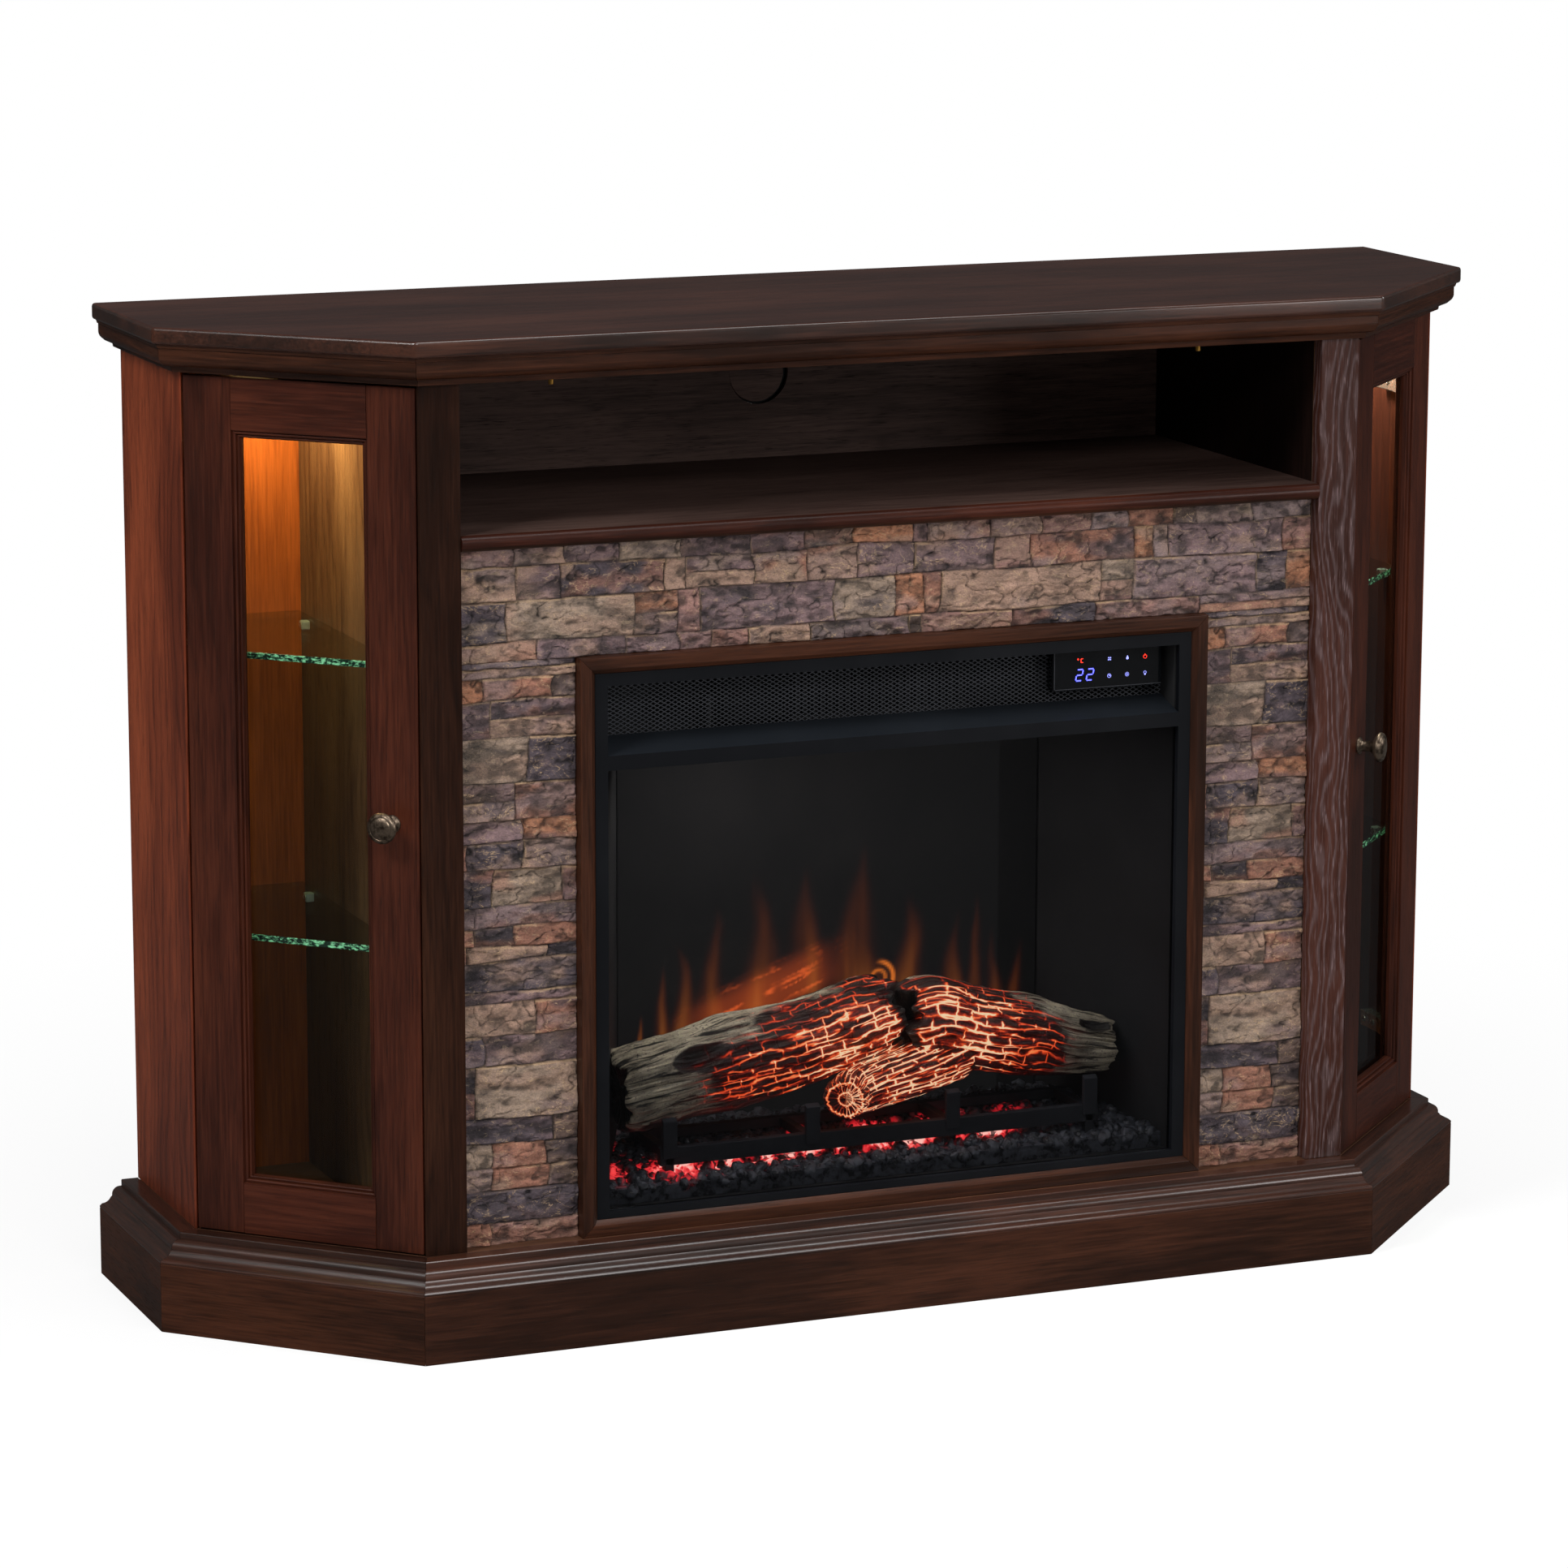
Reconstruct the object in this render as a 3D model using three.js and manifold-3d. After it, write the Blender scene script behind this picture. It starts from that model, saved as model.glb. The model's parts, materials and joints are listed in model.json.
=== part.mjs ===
// Corner fireplace: a wooden console whose front corners are cut at 45 degrees, with a glazed
// cabinet behind each cut, a media bay under the top, and an electric firebox in a stone surround.
// Millimetres, +Z up. The front faces -Y. In the part's own plan frame y = 0 is the case front and
// y grows towards the wall; the whole assembly is shifted so that the origin is the middle of the
// footprint, on the floor.
import * as THREE from 'three';
import { mergeVertices } from 'three/addons/utils/BufferGeometryUtils.js';
import Module from 'manifold-3d';

const wasm = await Module();
wasm.setup();

// ---------------------------------------------------------------- driving dimensions

// Case plan: the body without top, plinth and mouldings.
const frontWidth = 914;           // across the straight front, corner to corner
const caseDepth = 351;            // case front to wall
const facetRun = 165.3;           // how far each cut corner goes back, and sideways
const boardThickness = 15;        // side panels, pilasters, shelf and top
const dividerThickness = 38;      // hollow-core wall between a cabinet and the middle bay
const backThickness = 5;          // hardboard backs
const backInset = 1;              // backs in from the wall line

// Heights from the floor.
const plinthHeight = 64;
const deckThickness = 24.6;
const doorZoneHeight = 780.4;     // deck top to crown
const crownHeight = 26;
const topThickness = 15;

// What stands out from the case.
const plinthOverhang = 37.4;
const plinthThickness = 18;
const cleatSize = 18;
const topOverhang = 26.6;
const topEdgeRound = 3;

// Base moulding, from the deck down: ledge, step, bead, cove and toe.
const baseLedge = 16.2;
const baseStepHeight = 6.1;
const baseBeadOut = 1.7;          // bead centre beyond the ledge
const baseBeadRadius = 7.5;
const baseCoveRadius = 9;
const baseCoveIn = 2.4;           // cove centre behind the plinth face
const baseCoveHeight = 3.4;       // cove foot above the plinth
const baseToeHeight = 2;

// Crown, from its bottom up: fillet, cove, bead and a cap under the top.
const crownFillet = 7;
const crownFilletHeight = 5.6;
const crownFilletLean = 0.8;
const crownCoveOut = 14.4;
const crownCoveRise = 0.6;
const crownBeadOut = 20.4;
const crownBeadRadius = 8;
const crownBeadRise = 1.4;        // bead foot above the fillet
const crownCapHeight = 4;
const crownCapLean = 2.2;

// Middle bay.
const mediaBayHeight = 160;       // shelf top to the underside of the top
const shelfProud = 3;
const cableHoleDiameter = 60;
const cableHoleDrop = 79;         // hole centre below the underside of the top
const stoneRecess = 13;
const stoneThickness = 15;

// Wooden trim round the firebox.
const trimOuterWidth = 617;
const trimHeight = 530;
const trimFace = 15;
const trimRecess = 1.6;
const trimChamfer = 4;

// Firebox insert.
const bezelRecess = 6;            // bezel face behind the case front
const bezelThickness = 6;
const bezelSideFace = 12;
const bezelTopFace = 11.5;
const bezelBottomFace = 6.5;
const rimWidth = 5;
const rimDepth = 4.3;
const airOutletHeight = 63;       // crossbar's lip to the bezel above it
const crossbarHeight = 13.4;
const ledgeRise = 11;
const ledgeReach = 31.5;          // from the bezel's back to the grille
const ledgeThickness = 5;
const ledgeHaunch = 3;            // crossbar's back, below the ledge's underside
const sheet = 4;
const flangeThickness = 2;
const screenSetback = 148;        // case flange to flame screen
const screenHalfWidth = 212;
const screenClearance = 2;        // screen end to the chamber wall
const windowGap = 6;              // case flange to what lies behind the window
const fireboxDepth = 218;
const ductDepth = 108;
const windowThickness = 4;
const screenThickness = 3;
const runnerSpacing = 300;
const runnerWidth = 24;
const runnerSetback = 2;          // stone board to the runners
const bearingHalfWidth = 10;
const bearingThickness = 4;
const bearingRise = 8;            // above the shaft that it carries
const pivotHalfWidth = 8;
const pivotThickness = 6;
const glandDiameter = 14;
const glandReach = 8;
const glandHeight = 28;           // above the firebox floor

// Air outlet.
const grilleThickness = 2;
const grilleRows = 3;
const grilleColumns = 30;
const grilleStrand = 3;
const grilleEdge = 4;
const panelWidth = 111;
const panelHeight = 37;
const panelThickness = 12;
const panelInset = 7;             // panel end to the duct wall
const panelStandOff = 4;          // panel back to the grille
const panelDrop = 3;              // below the top of the air outlet
const bracketWidth = 30;
const bracketMargin = 8;          // above and below the bracket

// Heater and fans.
const heaterWidth = 170;
const heaterDepth = 10;
const heaterFins = 20;
const heaterFinGap = 5;
const heaterLegHeight = 22;
const heaterLegWidth = 8;
const heaterLegDepth = 6;
const heaterHeadroom = 6;         // fins to the duct's roof
const heaterRail = 5;             // height of the rails through the fins
const heaterRailEnd = 4;          // rails beyond the first and last fin
const heaterSetback = 1;          // grille to heater
const blowerDiameter = 40;
const blowerLength = 300;
const blowerVanes = 12;
const blowerVaneWidth = 6;
const blowerDisc = 3;             // thickness of the end and middle discs
const vaneThickness = 2;
const blowerSetback = 33;         // grille to fan axis
const motorDiameter = 44;
const motorLength = 40;
const motorFootInset = 6;
const motorFootWidth = 24;
const shaftDiameter = 6;
const shaftEnd = 8;               // shaft beyond the wheel or rotor
const rotorLength = 352;
const rotorPaddles = 11;
const rotorRadius = 17;
const rotorFoil = 1.2;            // paddle thickness
const rotorFill = 0.72;           // share of its pitch that a paddle takes
const rotorMotorDiameter = 34;
const rotorFootInset = 5;
const rotorFootWidth = 20;
const rotorHeight = 60;           // axis above the firebox floor
const rotorSetback = 33;          // flame screen to rotor axis

// Fire.
const emberFrontHeight = 14;
const emberBackHeight = 34;
const emberShoulder = 30;         // where the bed starts to climb
const emberShoulderRise = 6;
const grateWidth = 440;
const grateHeight = 42;           // bar tops above the firebox floor
const grateBar = 9;
const grateFingers = 4;
const grateFingerRise = 20;
const grateFingerOut = 2;         // fingers in front of the bar
const grateLegSlim = 0.5;         // leg face inside the bar's face
const grateLegFoot = 3;           // leg end above the firebox floor
const grateDepth = 70;
const grateSetback = 26;          // window to the front bar
const logDiameter = 74;
const logClearance = 2;           // log to the bars below it
const leftLog = { start: -243, length: 263, tilt: 50, skew: 8, back: -1, lift: 8, taper: 0.96 };
const rightLog = { start: 38, length: 212, tilt: -45, skew: -5, back: 5, lift: 48, taper: 0.68 };
const frontStub = { start: -52, run: 150, length: 27, back: -32, drop: 5, rise: 19, nose: 0.55, tail: 0.72 };
const logNotchMargin = 3;         // room left round a finger

// Doors.
const doorThickness = 18;
const doorStile = 47;
const doorBead = 7;
const doorBeadRecess = 3;
const doorBeadDepth = 8;
const doorGlass = 4;
const doorGap = 1.5;
const doorTopGap = 2.5;
const returnWidth = 2;            // sliver of case edge that shows beside a door
const knobDiameter = 28;
const knobStem = 10;
const knobReach = 26;
const knobHeadLength = 12;
const knobCollar = 3;             // collar beyond the stem, and about its height
const knobDish = 5;               // rim of the knob to its flat middle
const knobFromEdge = 26;
const knobHeight = 480;
const pivotOut = 1;               // hinge axis in front of the door face
const hingeFromEnd = 70;
const hingeWidth = 16;
const hingeReach = 52;
const hingeThickness = 12;
const hingeNeck = 10;             // where the arm starts to turn to the wall
const hingeShoulder = 24;         // where it meets the wall plate
const hingeSplay = 3;
const hingeSeat = 0.5;            // door back to the arm

// Cabinet fittings.
const shelfGlass = 6;
const shelfClearance = 2;
const shelfDoorClearance = 12;
const upperShelfTop = 617;
const lowerShelfTop = 360;
const pinSize = 7;
const pinHeight = 5;
const pinFromFront = 22;
const pinFromBack = 24;
const puckDiameter = 56;
const puckThickness = 9;

// Clearances.
const seatGap = 0.3;              // two pieces that rest on or are cut by each other
const glazingGap = 0.5;
const bite = 1;                   // how far joined lumps run into each other

// ---------------------------------------------------------------- derived levels

const deckTop = plinthHeight + deckThickness;
const crownBottom = deckTop + doorZoneHeight;
const topBottom = crownBottom + crownHeight;
const overallHeight = topBottom + topThickness;
const shelfTop = topBottom - mediaBayHeight;
const shelfBottom = shelfTop - boardThickness;
const frontHalf = frontWidth / 2;
const caseHalf = frontHalf + facetRun;
const backFace = caseDepth - backThickness - backInset;
const bayHalf = frontHalf - dividerThickness;
const trimTop = deckTop + trimHeight;
const trimHalf = trimOuterWidth / 2;
const insertHalf = trimHalf - trimFace - seatGap;
const insertBottom = deckTop + trimFace + seatGap;
const insertTop = trimTop - trimFace - seatGap;
const bezelBack = bezelRecess + bezelThickness;
const rimBack = bezelBack + rimDepth;
const flangeFront = rimBack + seatGap;
const openHalf = insertHalf - bezelSideFace;
const windowBottom = insertBottom + bezelBottomFace;
const airTop = insertTop - bezelTopFace;
const lipTop = airTop - airOutletHeight;
const windowTop = lipTop - crossbarHeight;
const grilleFront = bezelBack + ledgeReach + seatGap;
const fireboxFloor = windowBottom;
const ductFloor = windowTop + sheet;
const ductTop = airTop + sheet;
const screenFront = flangeFront + screenSetback;
const fireboxBack = flangeFront + fireboxDepth;
const doorBottom = deckTop + doorGap;
const doorTop = crownBottom - doorTopGap;
const facetLength = facetRun * Math.SQRT2;
const doorWidth = facetLength - 2 * (returnWidth + doorGap);
const footprintMiddle = (caseDepth - plinthOverhang) / 2;

// ---------------------------------------------------------------- geometry helpers

/** A box between two corners. */
function box(x0, x1, y0, y1, z0, z1) {
  const geometry = new THREE.BoxGeometry(x1 - x0, y1 - y0, z1 - z0);
  return geometry.translate((x0 + x1) / 2, (y0 + y1) / 2, (z0 + z1) / 2);
}

/** A plan outline, given as [x, y] points, raised from z0 to z1. */
function prism(outline, z0, z1, holes = []) {
  const shape = new THREE.Shape(outline.map(([x, y]) => new THREE.Vector2(x, y)));
  shape.holes = holes.map((hole) => new THREE.Path(hole.map(([x, y]) => new THREE.Vector2(x, y))));
  const geometry = new THREE.ExtrudeGeometry(shape, { depth: z1 - z0, bevelEnabled: false });
  return geometry.translate(0, 0, z0);
}

/** An upright outline, given as [x, z] points, that runs from y0 back to y1. */
function slab(outline, y0, y1, holes = []) {
  const geometry = prism(outline, -y1, -y0, holes);
  return geometry.rotateX(Math.PI / 2);
}

/** A side outline, given as [y, z] points, that runs from x0 to x1. */
function bar(outline, x0, x1) {
  const geometry = prism(outline, x0, x1);
  return geometry.applyMatrix4(new THREE.Matrix4().set(
    0, 0, 1, 0,
    1, 0, 0, 0,
    0, 1, 0, 0,
    0, 0, 0, 1,
  ));
}

/** A round bar along x. */
function rod(radius, x0, x1, y, z, sides = 16) {
  const geometry = new THREE.CylinderGeometry(radius, radius, x1 - x0, sides);
  return geometry.rotateZ(Math.PI / 2).translate((x0 + x1) / 2, y, z);
}

/** The corners of a rectangle as an outline. */
function rectangle(x0, x1, y0, y1) {
  return [[x0, y0], [x1, y0], [x1, y1], [x0, y1]];
}

/** Points on an arc, angles in degrees. */
function arc(centreX, centreY, radius, from, to, steps) {
  return Array.from({ length: steps + 1 }, (_, i) => {
    const angle = THREE.MathUtils.degToRad(from + ((to - from) * i) / steps);
    return [centreX + radius * Math.cos(angle), centreY + radius * Math.sin(angle)];
  });
}

/** A closed surface as a solid for joining and cutting. */
function solid(geometry) {
  const bare = geometry.clone();
  bare.deleteAttribute('normal');
  bare.deleteAttribute('uv');
  const merged = mergeVertices(bare, 1e-4);
  return new wasm.Manifold(new wasm.Mesh({
    numProp: 3,
    vertProperties: new Float32Array(merged.attributes.position.array),
    triVerts: new Uint32Array(merged.index.array),
  }));
}

/** A solid back as a surface. */
function surface(body) {
  const mesh = body.getMesh();
  const geometry = new THREE.BufferGeometry();
  geometry.setAttribute('position', new THREE.BufferAttribute(new Float32Array(mesh.vertProperties), 3));
  geometry.setIndex(new THREE.BufferAttribute(new Uint32Array(mesh.triVerts), 1));
  geometry.computeVertexNormals();
  return geometry;
}

/** Several overlapping surfaces joined into one body. */
function join(...geometries) {
  return surface(geometries.map(solid).reduce((whole, piece) => whole.add(piece)));
}

/** One surface less the others. */
function cut(base, ...tools) {
  return surface(tools.map(solid).reduce((whole, piece) => whole.subtract(piece), solid(base)));
}

/** The same surface with every face turned over. */
function reversed(geometry) {
  const loose = geometry.index ? geometry.toNonIndexed() : geometry.clone();
  const place = loose.attributes.position;
  for (let i = 0; i < place.count; i += 3) {
    const [x, y, z] = [place.getX(i), place.getY(i), place.getZ(i)];
    place.setXYZ(i, place.getX(i + 1), place.getY(i + 1), place.getZ(i + 1));
    place.setXYZ(i + 1, x, y, z);
  }
  loose.deleteAttribute('uv');
  loose.computeVertexNormals();
  return loose;
}

/** What of a surface lies within another. */
function within(geometry, room) {
  return surface(solid(geometry).intersect(solid(room)));
}

/** The same shape on the other side of the middle plane, with its faces still pointing out. */
function mirrored(geometry) {
  return reversed(geometry.clone().scale(-1, 1, 1));
}

/** The same closed surface, turned over if its faces point in. */
function outward(geometry) {
  const place = geometry.attributes.position;
  const [a, b, c] = [new THREE.Vector3(), new THREE.Vector3(), new THREE.Vector3()];
  let volume = 0;
  for (let i = 0; i < place.count; i += 3) {
    a.fromBufferAttribute(place, i);
    b.fromBufferAttribute(place, i + 1);
    c.fromBufferAttribute(place, i + 2);
    volume += a.dot(b.cross(c));
  }
  return volume > 0 ? geometry : reversed(geometry);
}

// ---------------------------------------------------------------- the plan and its mouldings

const half = Math.SQRT1_2;
const mitreSlope = Math.tan(Math.PI / 8);

/** The left half of the plan, stood off by `out`: back end, side corner, front corner. */
function planLeft(out) {
  return [
    [-(caseHalf + out), caseDepth],
    [-(caseHalf + out), facetRun - out * mitreSlope],
    [-(frontHalf + out * mitreSlope), -out],
  ];
}

/** The whole plan outline, stood off by `out`, ending at the depth `back`. */
function planOutline(out, back = caseDepth) {
  const [end, side, front] = planLeft(out);
  const left = [[end[0], back], side, front];
  return [...left, ...left.map(([x, y]) => [-x, y]).reverse()];
}

/** A point of the left cut corner: `along` it from the front corner, and `inward` from its face. */
function facetPoint(along, inward) {
  return [-frontHalf - along * half + inward * half, along * half + inward * half];
}

/** An [out, z] profile carried through a run of plan corners, each a function of `out`. */
function moulding(profile, corners) {
  const flat = profile.map(([out, z]) => new THREE.Vector2(out, z));
  const rings = corners.map((corner) => profile.map(([out, z]) => [...corner(out), z]));
  const triangles = [];
  for (let r = 0; r + 1 < rings.length; r += 1) {
    for (let i = 0; i < profile.length; i += 1) {
      const next = (i + 1) % profile.length;
      const [a, b] = [rings[r][i], rings[r][next]];
      const [c, d] = [rings[r + 1][next], rings[r + 1][i]];
      triangles.push(a, b, c, a, c, d);
    }
  }
  for (const [i, j, k] of THREE.ShapeUtils.triangulateShape(flat, [])) {
    const [first, last] = [rings[0], rings[rings.length - 1]];
    triangles.push(first[i], first[k], first[j], last[i], last[j], last[k]);
  }
  const geometry = new THREE.BufferGeometry();
  geometry.setAttribute('position', new THREE.Float32BufferAttribute(triangles.flat(), 3));
  geometry.computeVertexNormals();
  return outward(geometry);
}

/** The front length of a moulding, mitred into its neighbours. */
function frontMoulding(profile) {
  const end = (out) => planLeft(out)[2];
  return moulding(profile, [
    (out) => [end(out)[0] + seatGap / 2, end(out)[1]],
    (out) => [-end(out)[0] - seatGap / 2, end(out)[1]],
  ]);
}

/** The left cut corner and side of a moulding, glued up as one length. */
function leftMoulding(profile, back = caseDepth) {
  return moulding(profile, [
    (out) => [planLeft(out)[0][0], back],
    (out) => planLeft(out)[1],
    (out) => {
      const [x, y] = planLeft(out)[2];
      return [x - (seatGap / 2) * half, y + (seatGap / 2) * half];
    },
  ]);
}

// ---------------------------------------------------------------- finishes

/** A plain finish: colour, roughness and metalness. */
function finish(color, roughness, metalness = 0) {
  return new THREE.MeshStandardMaterial({ color, roughness, metalness });
}

const mahogany = finish(0x3f1d16, 0.38);
const sideVeneer = finish(0x552117, 0.42);
const topVeneer = finish(0x34231f, 0.35);
const hardboard = finish(0x2c1a16, 0.7);
const stone = finish(0x84705f, 0.9);
const blackSteel = finish(0x191c20, 0.45, 0.6);
const blackGlass = finish(0x0a0b0d, 0.12);
const clearGlass = finish(0xcfe3da, 0.05);
const nickel = finish(0xb5b2aa, 0.3, 0.9);
const bronze = finish(0x5a4a3c, 0.35, 0.85);
const ironwork = finish(0x0e0e0f, 0.8, 0.4);
const charredWood = finish(0x6f6355, 0.9);
const coal = finish(0x241815, 0.95);
const lampLens = finish(0xf4e6cf, 0.3);
const castAluminium = finish(0x9a9c9f, 0.4, 0.8);

// ---------------------------------------------------------------- assembly

const fireplace = new THREE.Group();
fireplace.position.y = -footprintMiddle;

/** Adds one named piece. */
function add(name, geometry, material, parent = fireplace) {
  const mesh = new THREE.Mesh(geometry, material);
  mesh.name = name;
  parent.add(mesh);
  return mesh;
}

/** Adds a left piece and its mirror image. */
function addPair(name, geometry, material) {
  const [stem, ...rest] = name.split('*');
  add(`${stem}left${rest.join('')}`, geometry, material);
  add(`${stem}right${rest.join('')}`, mirrored(geometry), material);
}

/** The plinth: boards with a glued cleat that carries the deck, and a rail across the back. */
function addPlinth() {
  const inner = plinthOverhang - plinthThickness;
  const profile = [
    [plinthOverhang, 0],
    [plinthOverhang, plinthHeight],
    [-cleatSize, plinthHeight],
    [-cleatSize, plinthHeight - cleatSize],
    [inner, plinthHeight - cleatSize],
    [inner, 0],
  ];
  add('plinth_front', frontMoulding(profile), mahogany);
  addPair('plinth_*', leftMoulding(profile), mahogany);
  const railEnd = caseHalf - cleatSize - seatGap;
  add('plinth_back', box(-railEnd, railEnd, backFace - boardThickness, backFace, 0, plinthHeight), mahogany);
}

/** The base moulding: a stepped ledge, a bead and a cove that runs out to the plinth. */
function addBaseMoulding() {
  const beadCentre = [baseLedge + baseBeadOut, deckTop - baseStepHeight - baseBeadRadius];
  const coveCentre = [plinthOverhang - baseCoveIn, plinthHeight + baseCoveHeight + baseCoveRadius];
  const profile = [
    [seatGap, plinthHeight],
    [plinthOverhang, plinthHeight],
    [plinthOverhang, plinthHeight + baseToeHeight],
    ...arc(...coveCentre, baseCoveRadius, 270, 205, 4),
    ...arc(...beadCentre, baseBeadRadius, -8, 90, 5),
    [baseLedge, deckTop - baseStepHeight],
    [baseLedge, deckTop],
    [seatGap, deckTop],
  ];
  add('base_moulding_front', frontMoulding(profile), mahogany);
  addPair('base_moulding_*', leftMoulding(profile), mahogany);
}

/** The crown: a header behind the mouldings, with fillet, cove and bead under the top. */
function addCrown() {
  const filletTop = crownBottom + crownFilletHeight;
  const beadCentre = [crownBeadOut - crownBeadRadius, filletTop + crownBeadRise + crownBeadRadius];
  const profile = [
    [-boardThickness, crownBottom],
    [crownFillet, crownBottom],
    [crownFillet + crownFilletLean, filletTop],
    [crownCoveOut, filletTop + crownCoveRise],
    ...arc(...beadCentre, crownBeadRadius, -55, 0, 4),
    [crownBeadOut, topBottom - crownCapHeight],
    [crownBeadOut + crownCapLean, topBottom],
    [-boardThickness, topBottom],
  ];
  add('crown_front', frontMoulding(profile), mahogany);
  addPair('crown_*', leftMoulding(profile), mahogany);
}

/** The deck that the case stands on. */
function addDeck() {
  add('bottom_deck', prism(planOutline(0, backFace), plinthHeight, deckTop), mahogany);
}

/** The top, with its edge rounded over. */
function addTop() {
  const inset = planOutline(topOverhang - topEdgeRound, caseDepth - topEdgeRound);
  const shape = new THREE.Shape(inset.map(([x, y]) => new THREE.Vector2(x, y)));
  const geometry = new THREE.ExtrudeGeometry(shape, {
    depth: topThickness - 2 * topEdgeRound,
    bevelEnabled: true,
    bevelThickness: topEdgeRound,
    bevelSize: topEdgeRound,
    bevelSegments: 3,
  });
  add('top_slab', geometry.translate(0, 0, topBottom + topEdgeRound), topVeneer);
}

/** The shelf rests on one wall of a cabinet, at the depths where its pins go. */
function shelfPins(wall, into, depths) {
  return [upperShelfTop, lowerShelfTop].flatMap((level) => depths.map((depth) => {
    const bottom = level - shelfGlass;
    const [x0, x1] = into > 0 ? [wall - bite, wall + pinSize] : [wall - pinSize, wall + bite];
    return box(x0, x1, depth - pinSize / 2, depth + pinSize / 2, bottom - pinHeight, bottom);
  }));
}

/** Side panels, the hollow-core dividers and the pilasters in front of them. */
function addUprights() {
  const bevel = returnWidth + doorGap;
  const wallX = -caseHalf + boardThickness;
  const [tipX, tipY] = facetPoint(facetLength - returnWidth, 0);
  const sideOutline = [
    [-caseHalf, caseDepth],
    [-caseHalf, facetRun],
    [tipX, tipY],
    [wallX, tipY + (wallX - tipX)],
    [wallX, caseDepth],
  ];
  const sideFrontPin = facetRun + boardThickness + pinFromFront + shelfDoorClearance;
  const sidePanel = join(
    prism(sideOutline, deckTop, crownBottom),
    ...shelfPins(wallX, 1, [sideFrontPin, backFace - pinFromBack]),
  );
  addPair('side_panel_*', sidePanel, sideVeneer);

  const clear = doorThickness + doorGap;
  const [noseX, noseY] = facetPoint(returnWidth, 0);
  const pilasterBack = boardThickness;
  const pilasterOutline = [
    [-frontHalf, 0],
    [noseX, noseY],
    [noseX + (pilasterBack - noseY), pilasterBack],
    [-bayHalf, pilasterBack],
    [-bayHalf, 0],
  ];
  addPair('pilaster_*', prism(pilasterOutline, deckTop, crownBottom), mahogany);

  const dividerFront = pilasterBack + seatGap;
  const facetLine = clear * Math.SQRT2 - frontHalf;
  const dividerOutline = [
    [-bayHalf, dividerFront],
    [facetLine - dividerFront, dividerFront],
    [-frontHalf, facetLine + frontHalf],
    [-frontHalf, backFace - seatGap],
    [-bayHalf, backFace - seatGap],
  ];
  const divider = join(
    prism(dividerOutline, deckTop, topBottom),
    ...shelfPins(-frontHalf, -1, [bevel + doorThickness + pinFromFront + 2 * shelfDoorClearance,
      backFace - pinFromBack]),
  );
  addPair('divider_*', divider, mahogany);
}

/** Thin backs behind the cabinets and the media bay; the firebox bay stays open behind. */
function addBacks() {
  const wall = -caseHalf + boardThickness + seatGap;
  const joint = -frontHalf + dividerThickness / 2;
  const [front, back] = [backFace, backFace + backThickness];
  const top = topBottom - seatGap;
  addPair('cabinet_back_*', box(wall, joint - seatGap, front, back, deckTop - deckThickness, top), hardboard);
  const hole = arc(0, topBottom - cableHoleDrop, cableHoleDiameter / 2, 0, 360, 36).slice(0, -1);
  const panel = rectangle(joint, -joint, shelfBottom, top);
  add('media_back', slab(panel, front, back, [hole]), hardboard);
}

/** The shelf under the media bay: its front edge is rounded and stands proud of the stone. */
function addMediaShelf() {
  const nose = boardThickness / 2;
  const outline = [
    [backFace - seatGap, shelfBottom],
    [backFace - seatGap, shelfTop],
    ...arc(nose - shelfProud, shelfTop - nose, nose, 90, 270, 6),
  ];
  const end = bayHalf - seatGap;
  add('media_shelf', bar(outline, -end, end), mahogany);
}

/** Stone-faced boards: a header over the firebox and a cheek on each side. */
function addStone() {
  const [front, back] = [stoneRecess, stoneRecess + stoneThickness];
  const edge = bayHalf - seatGap;
  const inner = trimHalf + seatGap;
  const header = trimTop + seatGap;
  add('stone_header', box(-edge, edge, front, back, header, shelfBottom - seatGap), stone);
  addPair('stone_*', box(-edge, -inner, front, back, deckTop, header - seatGap), stone);
}

/** Four mitred lengths of wooden trim round the firebox, with a chamfered inner edge. */
function addTrim() {
  const depth = stoneRecess + stoneThickness;
  const profile = [
    [0, trimRecess],
    [trimFace - trimChamfer, trimRecess],
    [trimFace, trimRecess + trimChamfer],
    [trimFace, depth],
    [0, depth],
  ];
  const middle = (deckTop + trimTop) / 2;
  const sides = [
    ['trim_top', trimHeight / 2, trimHalf, 0],
    ['trim_left', trimHalf, trimHeight / 2, 90],
    ['trim_bottom', trimHeight / 2, trimHalf, 180],
    ['trim_right', trimHalf, trimHeight / 2, 270],
  ];
  for (const [name, reach, run, turn] of sides) {
    const end = (side) => (inward) => [side * (run - inward - seatGap / 2), reach - inward];
    const geometry = moulding(profile, [end(-1), end(1)]);
    geometry.applyMatrix4(new THREE.Matrix4().set(
      1, 0, 0, 0,
      0, 0, 1, 0,
      0, 1, 0, 0,
      0, 0, 0, 1,
    ));
    geometry.rotateY(THREE.MathUtils.degToRad(-turn));
    geometry.translate(0, 0, middle);
    add(name, outward(geometry), mahogany);
  }
}

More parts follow.
